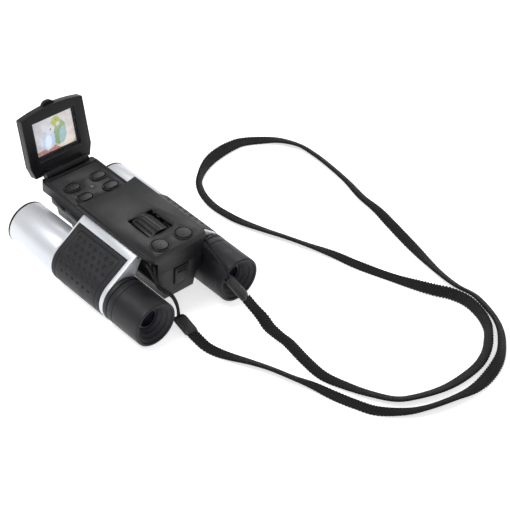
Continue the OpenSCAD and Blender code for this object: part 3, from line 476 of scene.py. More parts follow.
@dataclass(frozen=True)
class Display(Finish):
    """The lit screen: two plain round birds on a branch, out of focus."""

    centre: tuple = (0.0, 0.0, 0.0)
    lean: float = math.radians(-16)

    def dress(self, graph: Graph) -> None:
        """Builds the picture from soft ovals in the screen's own plane.

        Args:
            graph: The material's nodes.
        """
        part = graph.node("ShaderNodeSeparateXYZ")
        graph.feed(part.inputs[0], graph.place(self.centre, (self.lean, 0.0, 0.0), (MM, MM, MM)))
        x, z = part.outputs[0], part.outputs[2]
        wobble = graph.math("MULTIPLY", graph.math("SUBTRACT", graph.noise(0.0026, 3.0), 0.5), 1.6)

        def oval(cx: float, cz: float, rx: float, rz: float, tilt: float = 0.0, soft: float = 0.22) -> Socket:
            """Marks a soft tilted oval.

            Args:
                cx: Its centre across the screen, in millimetres.
                cz: Its centre up the screen.
                rx: Its half width.
                rz: Its half height.
                tilt: How far it leans, as a slope.
                soft: How wide its blurred edge is.

            Returns:
                1 inside it and 0 outside.
            """
            dx, dz = graph.math("SUBTRACT", x, cx), graph.math("SUBTRACT", z, cz)
            dx = graph.math("ADD", dx, graph.math("ADD", wobble, graph.math("MULTIPLY", dz, tilt)))
            parts = [graph.math("POWER", graph.math("ABSOLUTE", graph.math("DIVIDE", d, half)), 2.0)
                     for d, half in ((dx, rx), (dz, rz))]
            return graph.span(graph.math("ADD", *parts), 1.0 + soft, 1.0 - soft)

        ground = graph.mix(graph.span(x, -17.0, 17.0), (0.64, 0.64, 0.68), (0.78, 0.70, 0.66))
        haze = graph.span(graph.noise(0.007, 2.0), 0.4, 0.65, 0.0, 0.7)
        ground = graph.mix(haze, ground, (0.86, 0.84, 0.86))
        layers = [
            (oval(0.5, -10.2, 19.0, 1.9, 0.0, 0.4), (0.50, 0.22, 0.15)),
            (oval(8.0, -9.0, 8.0, 3.0, 0.0, 0.5), (0.86, 0.80, 0.72)),
            (oval(4.2, -1.0, 5.0, 8.2, -0.22), (0.30, 0.45, 0.22)),
            (oval(6.4, -3.4, 3.0, 5.6, -0.22), (0.42, 0.60, 0.62)),
            (oval(2.6, 7.4, 3.7, 3.6), (0.50, 0.56, 0.10)),
            (oval(4.0, 5.2, 1.7, 1.5), (0.70, 0.72, 0.60)),
            (oval(-5.0, -3.6, 5.0, 7.2, -0.12), (0.60, 0.70, 0.86)),
            (oval(-5.6, -4.6, 2.6, 5.2, -0.12), (0.80, 0.86, 0.97)),
            (oval(-2.8, 3.0, 3.3, 3.1), (0.78, 0.80, 0.88)),
            (oval(-2.4, 3.4, 0.5, 0.6), (0.05, 0.05, 0.08)),
            (oval(3.0, 8.2, 0.45, 0.5), (0.05, 0.06, 0.03)),
            (oval(-2.6, -10.6, 4.0, 1.3), (0.60, 0.28, 0.18)),
        ]
        for share, colour in layers:
            ground = graph.mix(share, ground, colour)
        specks = graph.span(graph.noise(0.0012, 3.0), 0.35, 0.75, 0.0, 0.2)
        mottled = graph.mix(specks, ground, (0.9, 0.9, 0.95))
        beyond = graph.math("MAXIMUM", graph.span(graph.math("ABSOLUTE", x), 15.9, 16.1),
                            graph.span(graph.math("ABSOLUTE", z), 11.7, 11.9))
        mottled = graph.mix(beyond, mottled, (0.002, 0.002, 0.003))
        graph.set(Base_Color=mottled, Emission_Color=mottled, Emission_Strength=0.3,
                  Roughness=graph.span(graph.noise(0.004, 3.0), 0.3, 0.7, 0.25, 0.35))


@dataclass(frozen=True)
class CircuitBoard(Finish):
    """Green solder mask with copper traces."""

    def dress(self, graph: Graph) -> None:
        """Builds the board: square cells of trace and pad over the mask.

        Args:
            graph: The material's nodes.
        """
        cells = graph.node("ShaderNodeTexVoronoi", feature="DISTANCE_TO_EDGE", distance="EUCLIDEAN")
        graph.feed(cells.inputs["Vector"], graph.place())
        cells.inputs["Scale"].default_value = 420.0
        trace = graph.span(cells.outputs[0], 0.1, 0.06)
        base = graph.mix(trace, self.colour, self.tone(2.6))
        graph.set(Base_Color=base, Normal=graph.bump(trace, 0.00004),
                  Roughness=graph.span(trace, 0.0, 1.0, self.roughness, self.roughness - 0.12))


@dataclass(frozen=True)
class Lamp(Finish):
    """Tinted light pipe with a brighter core."""

    def dress(self, graph: Graph) -> None:
        """Builds the lamp lens: a cloudy tint and a polished top.

        Args:
            graph: The material's nodes.
        """
        cloud = graph.noise(0.0015, 3.0)
        graph.set(Base_Color=graph.mix(graph.span(cloud, 0.3, 0.7), self.colour, self.tone(2.0)),
                  Roughness=graph.span(cloud, 0.3, 0.7, 0.35, 0.5), Coat_Weight=0.2,
                  Normal=graph.bump(cloud, 0.00002))


CASE = Moulded("case_plastic_finish", (0.0065, 0.0065, 0.008), 0.40)
LID = Moulded("lid_plastic_finish", (0.0065, 0.0065, 0.008), 0.42)
KEY = Moulded("key_plastic_finish", (0.005, 0.005, 0.0065), 0.34, grain=0.0003, edge_tone=2.4)
KEY_RIM = Moulded("key_rim_finish", (0.010, 0.010, 0.012), 0.38, edge_tone=2.6)
CAMERA_RING = Turned("camera_ring_finish", (0.44, 0.44, 0.46), 0.34)
MARK = Moulded("key_mark_finish", (0.045, 0.045, 0.052), 0.5)
INNER = Moulded("inner_plastic_finish", (0.010, 0.010, 0.011), 0.6)
SILVER = SatinPaint("silver_paint_finish", (0.66, 0.68, 0.72), 0.42)
RUBBER = Rubber("soft_rubber_finish", (0.009, 0.009, 0.012), 0.58)
CUP = Rubber("eyecup_rubber_finish", (0.008, 0.008, 0.011), 0.5, speckle=0.0011)
FLAP = Rubber("flap_rubber_finish", (0.0045, 0.0045, 0.0055), 0.5)
RING = Moulded("black_ring_finish", (0.009, 0.009, 0.010), 0.3)
COATED = CoatedGlass("coated_glass_finish", (0.007, 0.005, 0.010), 0.03)
CLEAR = ClearSheet("clear_glass_finish", (0.75, 0.8, 0.85), 0.05, alpha=0.06)
PRISM = ClearSheet("prism_glass_finish", (0.8, 0.9, 0.92), 0.03, alpha=0.35)
EYE_METAL = Turned("eyepiece_metal_finish", (0.05, 0.05, 0.06), 0.35)
STEEL = Turned("steel_finish", (0.62, 0.62, 0.64), 0.28)
BRIDGE = Turned("bridge_metal_finish", (0.42, 0.42, 0.44), 0.45)
BRASS = Turned("brass_finish", (0.72, 0.52, 0.24), 0.3)
BOARD = CircuitBoard("board_finish", (0.015, 0.12, 0.05), 0.42)
CELL = Moulded("cell_wrap_finish", (0.08, 0.10, 0.16), 0.3, edge_tone=1.3)
LAMP = Lamp("lamp_finish", (0.03, 0.008, 0.008), 0.2)
WEBBING = Webbing("webbing_finish", (0.006, 0.0058, 0.006), 0.74, across=17.6)
SLEEVE = Leather("sleeve_leather_finish", (0.014, 0.013, 0.014), 0.42)
THREAD = Webbing("loop_cord_finish", (0.008, 0.008, 0.0085), 0.62, across=4.4, depth=0.0001)


# ---- mesh work ------------------------------------------------------------


@dataclass
class Workshop:
    """Makes pieces and gives CAD nodes their finish."""

    count: int = 0

    def add(self, name: str, bm: bmesh.types.BMesh, finish: Finish, body: str, slot: str,
            replaces: tuple = (), angle: float = 32.0) -> bpy.types.Object:
        """Turns a finished bmesh into a piece of the model.

        Args:
            name: The piece's name.
            bm: Its mesh in metres, in the model's frame; it is freed.
            finish: Its finish.
            body: The body it rides on.
            slot: The record's material slot it belongs to; not used.
            replaces: The CAD nodes it stands for.
            angle: Edges sharper than this many degrees stay sharp.

        Returns:
            The piece.
        """
        mesh = bpy.data.meshes.new(name)
        bm.to_mesh(mesh)
        bm.free()
        mesh.shade_smooth()
        mesh.set_sharp_from_angle(angle=math.radians(angle))
        mesh.materials.append(finish.material())
        piece = bpy.data.objects.new(name, mesh)
        bpy.context.scene.collection.objects.link(piece)
        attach(piece, body)
        if replaces:
            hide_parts(*replaces)
        self.count += 1
        log.info("piece %s: %d faces, on %s", name, len(mesh.polygons), body)
        return piece

    def dress(self, node: str, finish: Finish) -> None:
        """Gives a CAD node that keeps its shape a finish.

        Args:
            node: The node.
            finish: Its finish.
        """
        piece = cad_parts[node]
        for holder in piece.material_slots:
            holder.link = "OBJECT"
            holder.material = finish.material()
        log.info("node %s: %s", node, finish.name)

    def soften(self, node: str, finish: Finish, body: str, slot: str, width: float = 0.0004,
               steps: int = 2, sharp: float = 30.0) -> bpy.types.Object:
        """Replaces a CAD node with a copy whose sharp edges are rounded.

        Args:
            node: The CAD node.
            finish: The copy's finish.
            body: The body it rides on.
            slot: The record's material slot.
            width: The rounding's width in metres.
            steps: The rounding's segments.
            sharp: Edges that turn more than this many degrees are rounded.

        Returns:
            The softened piece.
        """
        bm = bmesh.new()
        bm.from_mesh(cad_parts[node].data)
        bmesh.ops.remove_doubles(bm, verts=bm.verts, dist=2e-6)
        bmesh.ops.dissolve_limit(bm, angle_limit=math.radians(1.0), verts=bm.verts, edges=bm.edges,
                                 use_dissolve_boundaries=False)
        edges = [e for e in bm.edges if len(e.link_faces) == 2
                 and e.calc_face_angle(0.0) > math.radians(sharp) and e.calc_length() > width]
        bmesh.ops.bevel(bm, geom=edges, offset=width, offset_type="OFFSET", segments=steps, profile=0.5,
                        affect="EDGES", clamp_overlap=True, material=-1, loop_slide=True)
        return self.add(f"{node}_soft", bm, finish, body, slot, (node,))


def lathe(outline: list, x: float, z: float, steps: int = 96) -> bmesh.types.BMesh:
    """Turns a closed outline round an axis along Y.

    Args:
        outline: (radius, y) points in millimetres, in order round the section.
        x: The axis's x in millimetres.
        z: The axis's height in millimetres.
        steps: The turn's segments.

    Returns:
        The closed solid.
    """
    bm = bmesh.new()
    ring = [bm.verts.new(((x + r) * MM, y * MM, z * MM)) for r, y in outline]
    edges = [bm.edges.new((a, b)) for a, b in zip(ring, ring[1:] + ring[:1])]
    bmesh.ops.spin(bm, geom=ring + edges, cent=(x * MM, 0.0, z * MM), axis=(0.0, 1.0, 0.0),
                   angle=math.tau, steps=steps, use_merge=True)
    bmesh.ops.remove_doubles(bm, verts=bm.verts, dist=1e-6)
    bmesh.ops.recalc_face_normals(bm, faces=bm.faces)
    return bm


def bar(low: tuple, high: tuple, rounding: float, turn: Matrix = Matrix.Identity(4)) -> bmesh.types.BMesh:
    """Makes a block with rounded edges.

    Args:
        low: Its lowest corner in millimetres, in its own frame.
        high: Its highest corner.
        rounding: The edges' radius in millimetres.
        turn: The frame's place in the model, in metres.

    Returns:
        The block.
    """
    bm = bmesh.new()
    bmesh.ops.create_cube(bm, size=1.0)
    size = Vector([b - a for a, b in zip(low, high)]) * MM
    centre = Vector([(a + b) / 2 for a, b in zip(low, high)]) * MM
    bmesh.ops.scale(bm, vec=size, verts=bm.verts)
    bmesh.ops.translate(bm, vec=centre, verts=bm.verts)
    bmesh.ops.bevel(bm, geom=bm.edges[:], offset=rounding * MM, segments=3, profile=0.5, affect="EDGES",
                    clamp_overlap=True, material=-1)
    bmesh.ops.transform(bm, matrix=turn, verts=bm.verts)
    return bm


def hoop(x: float, y: float, z: float, wide: float, deep: float, wall: float,
         tall: float) -> bmesh.types.BMesh:
    """Makes a thin flat ring, round or oval in plan, with rounded edges.

    Args:
        x: Its centre, in millimetres.
        y: Its centre.
        z: Its underside.
        wide: Its outside width along X.
        deep: Its outside width along Y.
        wall: Its band's width.
        tall: Its height.

    Returns:
        The ring.
    """
    bm = bmesh.new()
    loops = []
    for cut in (0.0, wall):
        made = bmesh.ops.create_circle(bm, cap_ends=False, segments=48, radius=(deep / 2 - cut) * MM)
        verts = made["verts"]
        for v in verts:
            v.co.x += math.copysign((wide - deep) / 2 * MM, v.co.x) if abs(v.co.x) > 1e-7 else 0.0
        loops.append(verts)
    band = bmesh.ops.bridge_loops(bm, edges=bm.edges[:])["faces"]
    raised = bmesh.ops.extrude_face_region(bm, geom=band)["geom"]
    top = [v for v in raised if isinstance(v, bmesh.types.BMVert)]
    bmesh.ops.translate(bm, vec=(0, 0, tall * MM), verts=top)
    bmesh.ops.recalc_face_normals(bm, faces=bm.faces)
    edges = [e for e in bm.edges if len(e.link_faces) == 2 and e.calc_face_angle(0.0) > 1.0]
    bmesh.ops.bevel(bm, geom=edges, offset=min(wall, tall) * 0.35 * MM, segments=2, profile=0.5,
                    affect="EDGES", clamp_overlap=True, material=-1)
    bmesh.ops.translate(bm, vec=(x * MM, y * MM, z * MM), verts=bm.verts)
    return bm


def smooth_run(points: list, step: float) -> list:
    """Carries a smooth curve through a route's points.

    Args:
        points: The route, each point with its x, y, z and any further values, in millimetres and degrees.
        step: The distance wanted between the curve's points.

    Returns:
        The curve's points, with the further values carried along.
    """
    ends = [points[0], *points, points[-1]]
    run = []
    for a, b, c, d in zip(ends, ends[1:], ends[2:], ends[3:]):
        n = max(1, round(math.dist(b[:3], c[:3]) / step))
        for k in range(n):
            t = k / n
            run.append([0.5 * (2 * q + (r - p) * t + (2 * p - 5 * q + 4 * r - s) * t * t
                               + (3 * q - p - 3 * r + s) * t ** 3) for p, q, r, s in zip(a, b, c, d)])
    return run + [list(points[-1])]


# ---- sub-assemblies ---------------------------------------------------------


@dataclass
class Studio:
    """The camera, lights and floor."""

    place: tuple = (-0.62927, -0.76703, 0.81843)
    azimuth: float = -44.55
    elevation: float = 39.20
    roll: float = 3.75
    lens: float = 135.86

    def camera(self) -> None:
        """Sets up the camera."""
        a, e, r = (math.radians(v) for v in (self.azimuth, self.elevation, self.roll))
        back = Vector((math.sin(a) * math.cos(e), -math.cos(a) * math.cos(e), math.sin(e)))
        right = Vector((math.cos(a), math.sin(a), 0.0))
        up = back.cross(right)
        right, up = right * math.cos(r) + up * math.sin(r), up * math.cos(r) - right * math.sin(r)
        data = bpy.data.cameras.new("camera")
        data.lens, data.sensor_width, data.clip_start, data.clip_end = self.lens, 36.0, 0.05, 20.0
        camera = bpy.data.objects.new("camera", data)
        camera.matrix_world = Matrix((right, up, back)).transposed().to_4x4()
        camera.location = self.place
        bpy.context.scene.collection.objects.link(camera)
        bpy.context.scene.camera = camera

    def lights(self) -> None:
        """Hangs three soft panels and fills the room with white."""
        panels = (("key", (-0.55, 0.35, 1.25), 0.7, 10.5), ("fill", (-0.9, -0.9, 0.9), 1.1, 3.0),
                  ("rim", (0.9, 0.7, 0.9), 0.8, 4.5))
        for name, where, size, power in panels:
            data = bpy.data.lights.new(name, "AREA")
            data.shape, data.size, data.energy = "DISK", size, power
            lamp = bpy.data.objects.new(name, data)
            lamp.location = where
            lamp.rotation_euler = (-Vector(where)).to_track_quat("-Z", "Y").to_euler()
            bpy.context.scene.collection.objects.link(lamp)
        bpy.context.scene.view_settings.view_transform = "Standard"
        world = bpy.data.worlds.new("room")
        world.use_nodes = True
        world.node_tree.nodes["Background"].inputs[0].default_value = (1.0, 1.0, 1.0, 1.0)
        world.node_tree.nodes["Background"].inputs[1].default_value = 0.42
        bpy.context.scene.world = world

    def floor(self) -> None:
        """Lays a plain white floor."""
        bm = bmesh.new()
        bmesh.ops.create_grid(bm, x_segments=1, y_segments=1, size=4.0)
        mesh = bpy.data.meshes.new("floor")
        bm.to_mesh(mesh)
        bm.free()
        graph = Graph("floor_finish")
        graph.set(Base_Color=(0.93, 0.93, 0.93), Roughness=0.9, Emission_Color=(1.0, 1.0, 1.0),
                  Emission_Strength=0.62)
        mesh.materials.append(graph.material)
        floor = bpy.data.objects.new("floor", mesh)
        bpy.context.scene.collection.objects.link(floor)


@dataclass
class Strap:
    """The braided neck strap, its two leather sleeves and the thin loops that hold it."""

    width: float = 8.0
    thick: float = 2.2
    selvedge: float = 0.5
    pitch: float = 2.2
    cord: float = 1.4
    shift: float = -0.03
    lead_a: list = field(default_factory=lambda: [
        (29.5, -92, 13, 0), (31, -98, 8.5, 0), (32.5, -105, 4, 10), (31.5, -113, 1.6, 10)])
    floor: list = field(default_factory=lambda: [
        (31, -123, 0), (31, -132, 0), (28, -151, 0), (27, -168, 0), (31, -184, -10), (37, -199, -20),
        (46, -213, -25), (58, -220, -28), (75, -225, -25), (92, -226, -20), (110, -224, -25),
        (124, -218, -40), (135, -209, -55), (141, -202, -60), (146, -191, -60), (148, -178, -60),
        (145, -166, -55), (139, -154, -35), (130, -129, 0), (121, -105, 0), (115, -86, 10), (107, -68, 28),
        (101, -53, 30), (95, -38, 25), (89.5, -21, 15), (87, -8, 15), (86, 4, 20), (88, 16, 30),
        (92, 25, 47), (98, 32, 70), (108, 39, 65), (119, 44, 50), (131, 47, 35), (142, 48.5, 20),
        (152, 48, 10), (165, 42, 0), (175, 32, -15), (181, 18, -30), (182, 4, -32), (181, -12, -33),
        (178, -34, -32), (174, -53, -22), (173, -70, -10), (170, -86, 0), (164, -112, 0), (157, -140, -25),
        (155, -161, -32), (157, -177, -34), (153, -194, -36), (147, -207, -42), (138, -218, -45),
        (124, -229, -42), (107, -235, -15), (91, -237, 10), (74, -235.5, 30), (56, -231, 30),
        (43, -224, 15), (31, -212, 0), (25, -200, 0), (20, -186, 0), (15, -171, 15), (9.5, -159, 30),
        (4.5, -145, 32), (-1, -132, 25), (-7, -119, 10), (-10.5, -109, 0)])
    lead_b: list = field(default_factory=lambda: [
        (-12, -101, 1.2, 0), (-12.2, -94, 2.2, 0), (-12, -88, 3, 0)])
    sleeve_a: list = field(default_factory=lambda: [
        (22.8, -81.6, 26.2, 0), (29.5, -92, 13, 0)])
    sleeve_b: list = field(default_factory=lambda: [
        (-10, -71.6, 5, 0), (-12, -88, 3, 0)])
    loop_a: list = field(default_factory=lambda: [
        (23.6, -81.6, 26.2), (23.4, -78.2, 33.2), (23.6, -72, 36), (23.4, -65, 39.5), (23.5, -59.5, 42),
        (23.5, -56.9, 43), (22.9, -54.8, 43.4), (21.5, -54.1, 43.6), (20.1, -54.8, 43.5), (19.6, -56.7, 43),
        (20.2, -59.5, 42), (21.6, -65, 39.5), (22, -72, 36), (21.8, -78.2, 33.2), (22, -81.6, 26.2)])
    loop_b: list = field(default_factory=lambda: [
        (-9.2, -71.8, 5), (-9.8, -71.2, 11.5), (-11.2, -70.4, 18), (-14, -68.8, 24.4), (-17.8, -67.2, 28.6),
        (-21, -64.8, 32.4), (-21.6, -61.5, 37), (-20.4, -59.2, 41), (-19.6, -56.7, 43),
        (-20.1, -54.8, 43.5), (-21.5, -54.1, 43.6), (-22.9, -54.8, 43.4), (-23.5, -56.9, 43),
        (-23.6, -59.2, 41.4), (-23.2, -61.5, 37.6), (-22, -65.4, 31.4), (-18.6, -68, 27.6),
        (-14.8, -69.8, 23), (-12.4, -71, 17.4), (-11, -71.8, 11.4), (-10.8, -72.2, 5)])

    def rest(self, roll: float) -> float:
        """Returns the height of the strap's middle where it lies with a roll in degrees."""
        a = math.radians(roll)
        return self.thick / 2 * abs(math.cos(a)) + (self.width / 2 + 0.4) * abs(math.sin(a)) + 0.05

    def ribbon(self, run: list, width: float, thick: float, around: int, wave: float,
               taper: float = 0.0) -> tuple:
        """Sweeps a rounded flat section along a run by extruding one ring again and again.

        Args:
            run: (x, y, z, roll) points in millimetres and degrees.
            width: The section's width.
            thick: Its thickness.
            around: Points round it.
            wave: How far its selvedges swell and shrink with the braid.
            taper: How far its ends are drawn in, as a share.

        Returns:
            The bmesh with its weave map, and the centreline in metres.
        """
        bm = bmesh.new()
        layer = bm.loops.layers.uv.new("weave")
        line = [Vector(p[:3]) + Vector((0.0, self.shift, 0.0)) for p in run]
        rings, far, lengths = [], 0.0, []
        for k, point in enumerate(line):
            t = (line[min(k + 1, len(line) - 1)] - line[max(k - 1, 0)]).normalized()
            side = Vector((-t.y, t.x, 0.0)).normalized()
            up = t.cross(side)
            a = math.radians(run[k][3])
            across, rise = side * math.cos(a) + up * math.sin(a), up * math.cos(a) - side * math.sin(a)
            far += (point - line[k - 1]).length if k else 0.0
            lengths.append(far)
            close = 1.0 - taper * max(0.0, 1.0 - min(k, len(line) - 1 - k) / 4.0)
            ring = []
            for n in range(around):
                b = math.tau * n / around
                c, s = math.cos(b), math.sin(b)
                u = math.copysign(abs(c) ** 0.55, c) * width / 2
                v = math.copysign(abs(s) ** 0.8, s) * thick / 2
                beat = math.cos(math.tau * far / self.pitch + (c < 0) * 2.0)
                u += wave * abs(c) ** 6 * math.copysign(1.0, c) * beat
                ring.append(bm.verts.new((point + (across * u + rise * v) * close) * MM))
            rings.append(ring)
        for k, (a, b) in enumerate(zip(rings, rings[1:])):
            for n in range(around):
                m = (n + 1) % around
                face = bm.faces.new((a[n], a[m], b[m], b[n]))
                for loop, (j, i) in zip(face.loops, ((k, n), (k, n + 1), (k + 1, n + 1), (k + 1, n))):
                    loop[layer].uv = (lengths[j], i * 2.2 * width / around)
        for ring in (rings[0], rings[-1]):
            bm.faces.new(ring)
        bmesh.ops.recalc_face_normals(bm, faces=bm.faces)
        return bm, [tuple(p * MM) for p in line]

    def build(self, shop: Workshop) -> None:
        """Args:
            shop: The workshop that makes and keeps the pieces.
        """
        route = self.lead_a + [(x, y, self.rest(r), r) for x, y, r in self.floor] + self.lead_b
        for name, ends in (("strap_sleeve_right", self.sleeve_a), ("strap_sleeve_left", self.sleeve_b)):
            bm, _ = self.ribbon(smooth_run(ends, 0.7), 9.4, 3.2, 28, 0.0, 0.22)
            shop.add(name, bm, SLEEVE, "casing", "sleeve_leather", ("strap_sleeves",), 60.0)
        bm, line = self.ribbon(smooth_run(route, 0.8), self.width, self.thick, 20,
                                self.selvedge)
        strap = shop.add("neck_strap", bm, WEBBING, "casing", "webbing", ("strap",), 60.0)
        for name, points in (("strap_loop_right", self.loop_a), ("strap_loop_left", self.loop_b)):
            run = [(*p[:3], 0.0) for p in smooth_run(points, 0.5)]
            bm, line = self.ribbon(run, self.cord, self.cord, 12, 0.0)
            loop = shop.add(name, bm, THREAD, "casing", "webbing", ("strap_loops",), 60.0)


@dataclass
class Barrel:
    """One wing of the binoculars: shell, grip, objective tube, eyepiece and eyecup."""

    side: Side
    hinge: tuple = (21.5, 42.4)
    axis: tuple = (35.0, 16.4)
    knuckle: float = 3.0
    shell: float = 16.0
    proud: float = 0.4
    grip: tuple = (-41.53, 7.67)
    grip_start: float = 5.4
    arm_run: float = 26.24
    wrap: float = 157.8
    wall: float = 0.45
    dimple_rows: int = 6
    dimple_pitch: float = 5.5
    dimple_radius: float = 1.3
    dimple_depth: float = 0.72
    rim: float = -79.03
    cup_end: float = -48.83
    cup: float = 16.0

    def outline(self, s: float, off: float) -> tuple:
        """Follows the wing's outside from its hinge round the barrel.

        Args:
            s: The distance from the hinge's tangent point, in millimetres.
            off: How far out from the shell the point is.

        Returns:
            The point's x and z for the right wing.
        """
        dx, dz = self.axis[0] - self.hinge[0], self.axis[1] - self.hinge[1]
        reach = math.hypot(dx, dz)
        n = math.atan2(dz, dx) + math.acos((self.knuckle - self.shell) / reach)
        straight = math.sqrt(reach ** 2 - (self.shell - self.knuckle) ** 2)
        if s < straight:
            r, t = self.knuckle + off, n - math.pi / 2
            return (self.hinge[0] + r * math.cos(n) + s * math.cos(t),
                    self.hinge[1] + r * math.sin(n) + s * math.sin(t))
        a, r = n - (s - straight) / self.shell, self.shell + off
        return self.axis[0] + r * math.cos(a), self.axis[1] + r * math.sin(a)

    def relief(self, along: float, down: float, long: float, deep: float) -> float:
        """Returns how far the grip's face sinks at a place: rounded border, groove and dimples.

        Args:
            along: The distance from the grip's eyepiece end.
            down: The distance from its top edge.
            long: The grip's length.
            deep: Its height round the wing.

        Returns:
            The depth in millimetres.
        """
        edge = min(along, long - along, down, deep - down)
        sink = 0.55 * (1 - min(1.0, edge / 0.9)) ** 2
        mx, mz = 4.2, 3.4
        ix, iz = abs(along - long / 2) - (long / 2 - mx), abs(down - deep * 0.46) - (deep * 0.46 - mz)
        corner = 3.0
        out = math.hypot(max(ix + corner, 0), max(iz + corner, 0)) + min(max(ix, iz) + corner, 0) - corner
        sink += 0.5 * math.exp(-(out / 0.34) ** 2)
        pitch = self.dimple_pitch
        for row in range(self.dimple_rows):
            v = down - 8.0 - 4.7 * row
            if abs(v) > 2:
                continue
            start = 8.2 + (pitch / 2 if row % 2 else 0.0)
            u = (along - start) % pitch
            u = min(u, pitch - u)
            if -1.6 < along - start < pitch * (6 - row % 2) + 1.6:
                away = math.hypot(u, v) / self.dimple_radius
                sink += self.dimple_depth * math.sqrt(max(0.0, 1 - away ** 2))
        return sink

    def build_grip(self, shop: Workshop) -> None:
        """Builds the dimpled rubber skin over the wing.

        Args:
            shop: The workshop that makes and keeps the pieces.
        """
        long, start = self.grip[1] - self.grip[0], self.grip_start
        deep = self.arm_run - start + self.shell * math.radians(self.wrap) - 0.1
        bm = bmesh.new()
        bmesh.ops.create_grid(bm, x_segments=124, y_segments=164, size=0.5)
        for v in bm.verts:
            along, down = (v.co.x + 0.5) * long, (v.co.y + 0.5) * deep
            x, z = self.outline(start + down, self.proud - self.relief(along, down, long, deep))
            v.co = Vector((self.side.value * x, self.grip[0] + along, z)) * MM
        under = bmesh.ops.extrude_face_region(bm, geom=bm.faces[:])["geom"]
        inner = [v for v in under if isinstance(v, bmesh.types.BMVert)]
        centre = Vector((self.side.value * self.axis[0], 0, self.axis[1])) * MM
        for v in inner:
            inward = Vector((centre.x - v.co.x, 0, centre.z - v.co.z)).normalized()
            v.co += inward * self.wall * MM
        bmesh.ops.recalc_face_normals(bm, faces=bm.faces)
        shop.add(f"grip_skin_{self.side.word}", bm, RUBBER, f"wing_{self.side.word}", "soft_rubber",
                 (f"grip_{self.side.word}",), 50.0)

    def build_cup(self, shop: Workshop) -> None:
        """Builds the eyecup with its rolled rim, waist line and inner cone.

        Args:
            shop: The workshop that makes and keeps the pieces.
        """
        r, y0, y1 = self.cup, self.rim, self.cup_end
        outline = [
            (r - 1.1, y0), (r - 0.45, y0 + 0.12), (r - 0.1, y0 + 0.5), (r, y0 + 1.1), (r, y0 + 3.0), (r - 0.02, y0 + 9),
            (r, y1 - 6.4), (r - 0.02, y1 - 5.7), (r - 0.42, y1 - 5.45), (r - 0.42, y1 - 5.15), (r - 0.02, y1 - 4.9),
            (r, y1 - 4.2), (r, y1 - 0.7), (r - 0.2, y1 - 0.2), (r - 0.7, y1), (12.3, y1), (12.3, y0 + 8.6),
            (7.6, y0 + 8.2), (7.3, y0 + 7.7), (9.6, y0 + 5.5), (9.3, y0 + 5.2), (11.9, y0 + 3.2), (11.7, y0 + 2.8),
            (r - 2.0, y0 + 1.2), (r - 1.8, y0 + 0.4)]
        bm = lathe(outline, self.side.value * self.axis[0], self.axis[1])
        shop.add(f"eyecup_rubber_{self.side.word}", bm, CUP, self.side.cup_body, "soft_rubber",
                 (f"eyecup_{self.side.word}",), 40.0)

    def build(self, shop: Workshop) -> None:
        """Builds the wing's pieces and dresses its nodes.

        Args:
            shop: The workshop that makes and keeps the pieces.
        """
        s, wing = self.side.word, f"wing_{self.side.word}"
        self.build_grip(shop)
        self.build_cup(shop)
        shop.soften(f"wing_shell_{s}", SILVER, wing, "silver_paint", 0.0003)
        shop.soften(f"objective_tube_{s}", SILVER, wing, "silver_paint", 0.0003)
        shop.soften(f"front_ring_{s}", RING, wing, "black_ring", 0.00025)
        for node, finish in (("objective_lens", COATED), ("prism_holder", INNER), ("prisms", PRISM),
                             ("focus_cell", EYE_METAL), ("eyepiece", EYE_METAL), ("eye_lenses", COATED)):
            shop.dress(f"{node}_{s}", finish)


@dataclass
class Casing:
    """The middle body: covers, camera, bridge, battery bay, sockets and screws."""

    usb_x: float = 1.6
    usb_z: float = 29.4
    rear: float = -60.03
    flap_proud: float = 0.95
    rib_proud: float = 1.75

    def build_flap(self, shop: Workshop) -> None:
        """Builds the rubber flap over the socket, with its two finger ribs.

        Args:
            shop: The workshop that makes and keeps the pieces.
        """
        x, z, y = self.usb_x, self.usb_z, self.rear
        bm = bar((x - 6, y - self.flap_proud, z - 7.7), (x + 6, y + 0.9, z + 4.9), 0.8)
        for rise in (0.5, 2.6):
            rib = bar((x - 3.6, y - self.rib_proud, z + rise), (x + 3.6, y - 0.6, z + rise + 0.95), 0.4)
            shape = bpy.data.meshes.new("rib")
            rib.to_mesh(shape)
            rib.free()
            bm.from_mesh(shape)
            bpy.data.meshes.remove(shape)
        shop.add("usb_flap_rubber", bm, FLAP, "usb_flap", "soft_rubber", ("usb_cover",), 40.0)

    def build(self, shop: Workshop) -> None:
        """Builds the casing's pieces and dresses its nodes.

        Args:
            shop: The workshop that makes and keeps the pieces.
        """
        shop.soften("top_cover", CASE, "casing", "case_plastic", 0.0005, 2)
        shop.soften("bottom_cover", CASE, "casing", "case_plastic", 0.0005, 2)
        shop.soften("camera_shroud", CASE, "casing", "case_plastic", 0.0005, 2)
        shop.soften("battery_door", CASE, "door", "case_plastic", 0.0003)
        shop.soften("camera_ring", CAMERA_RING, "casing", "steel", 0.0002)
        self.build_flap(shop)
        for node, finish in (("hinge_bridge", BRIDGE), ("hinge_pins", EYE_METAL), ("main_board", BOARD),
                             ("rear_switch_board", BOARD), ("status_light", LAMP), ("camera_barrel", INNER),
                             ("camera_lens", COATED), ("image_sensor", BOARD), ("battery_cells", CELL),
                             ("battery_contacts", STEEL), ("tripod_socket", BRASS), ("usb_socket", STEEL),
                             ("strap_lugs", EYE_METAL), ("case_screws", STEEL)):
            shop.dress(node, finish)


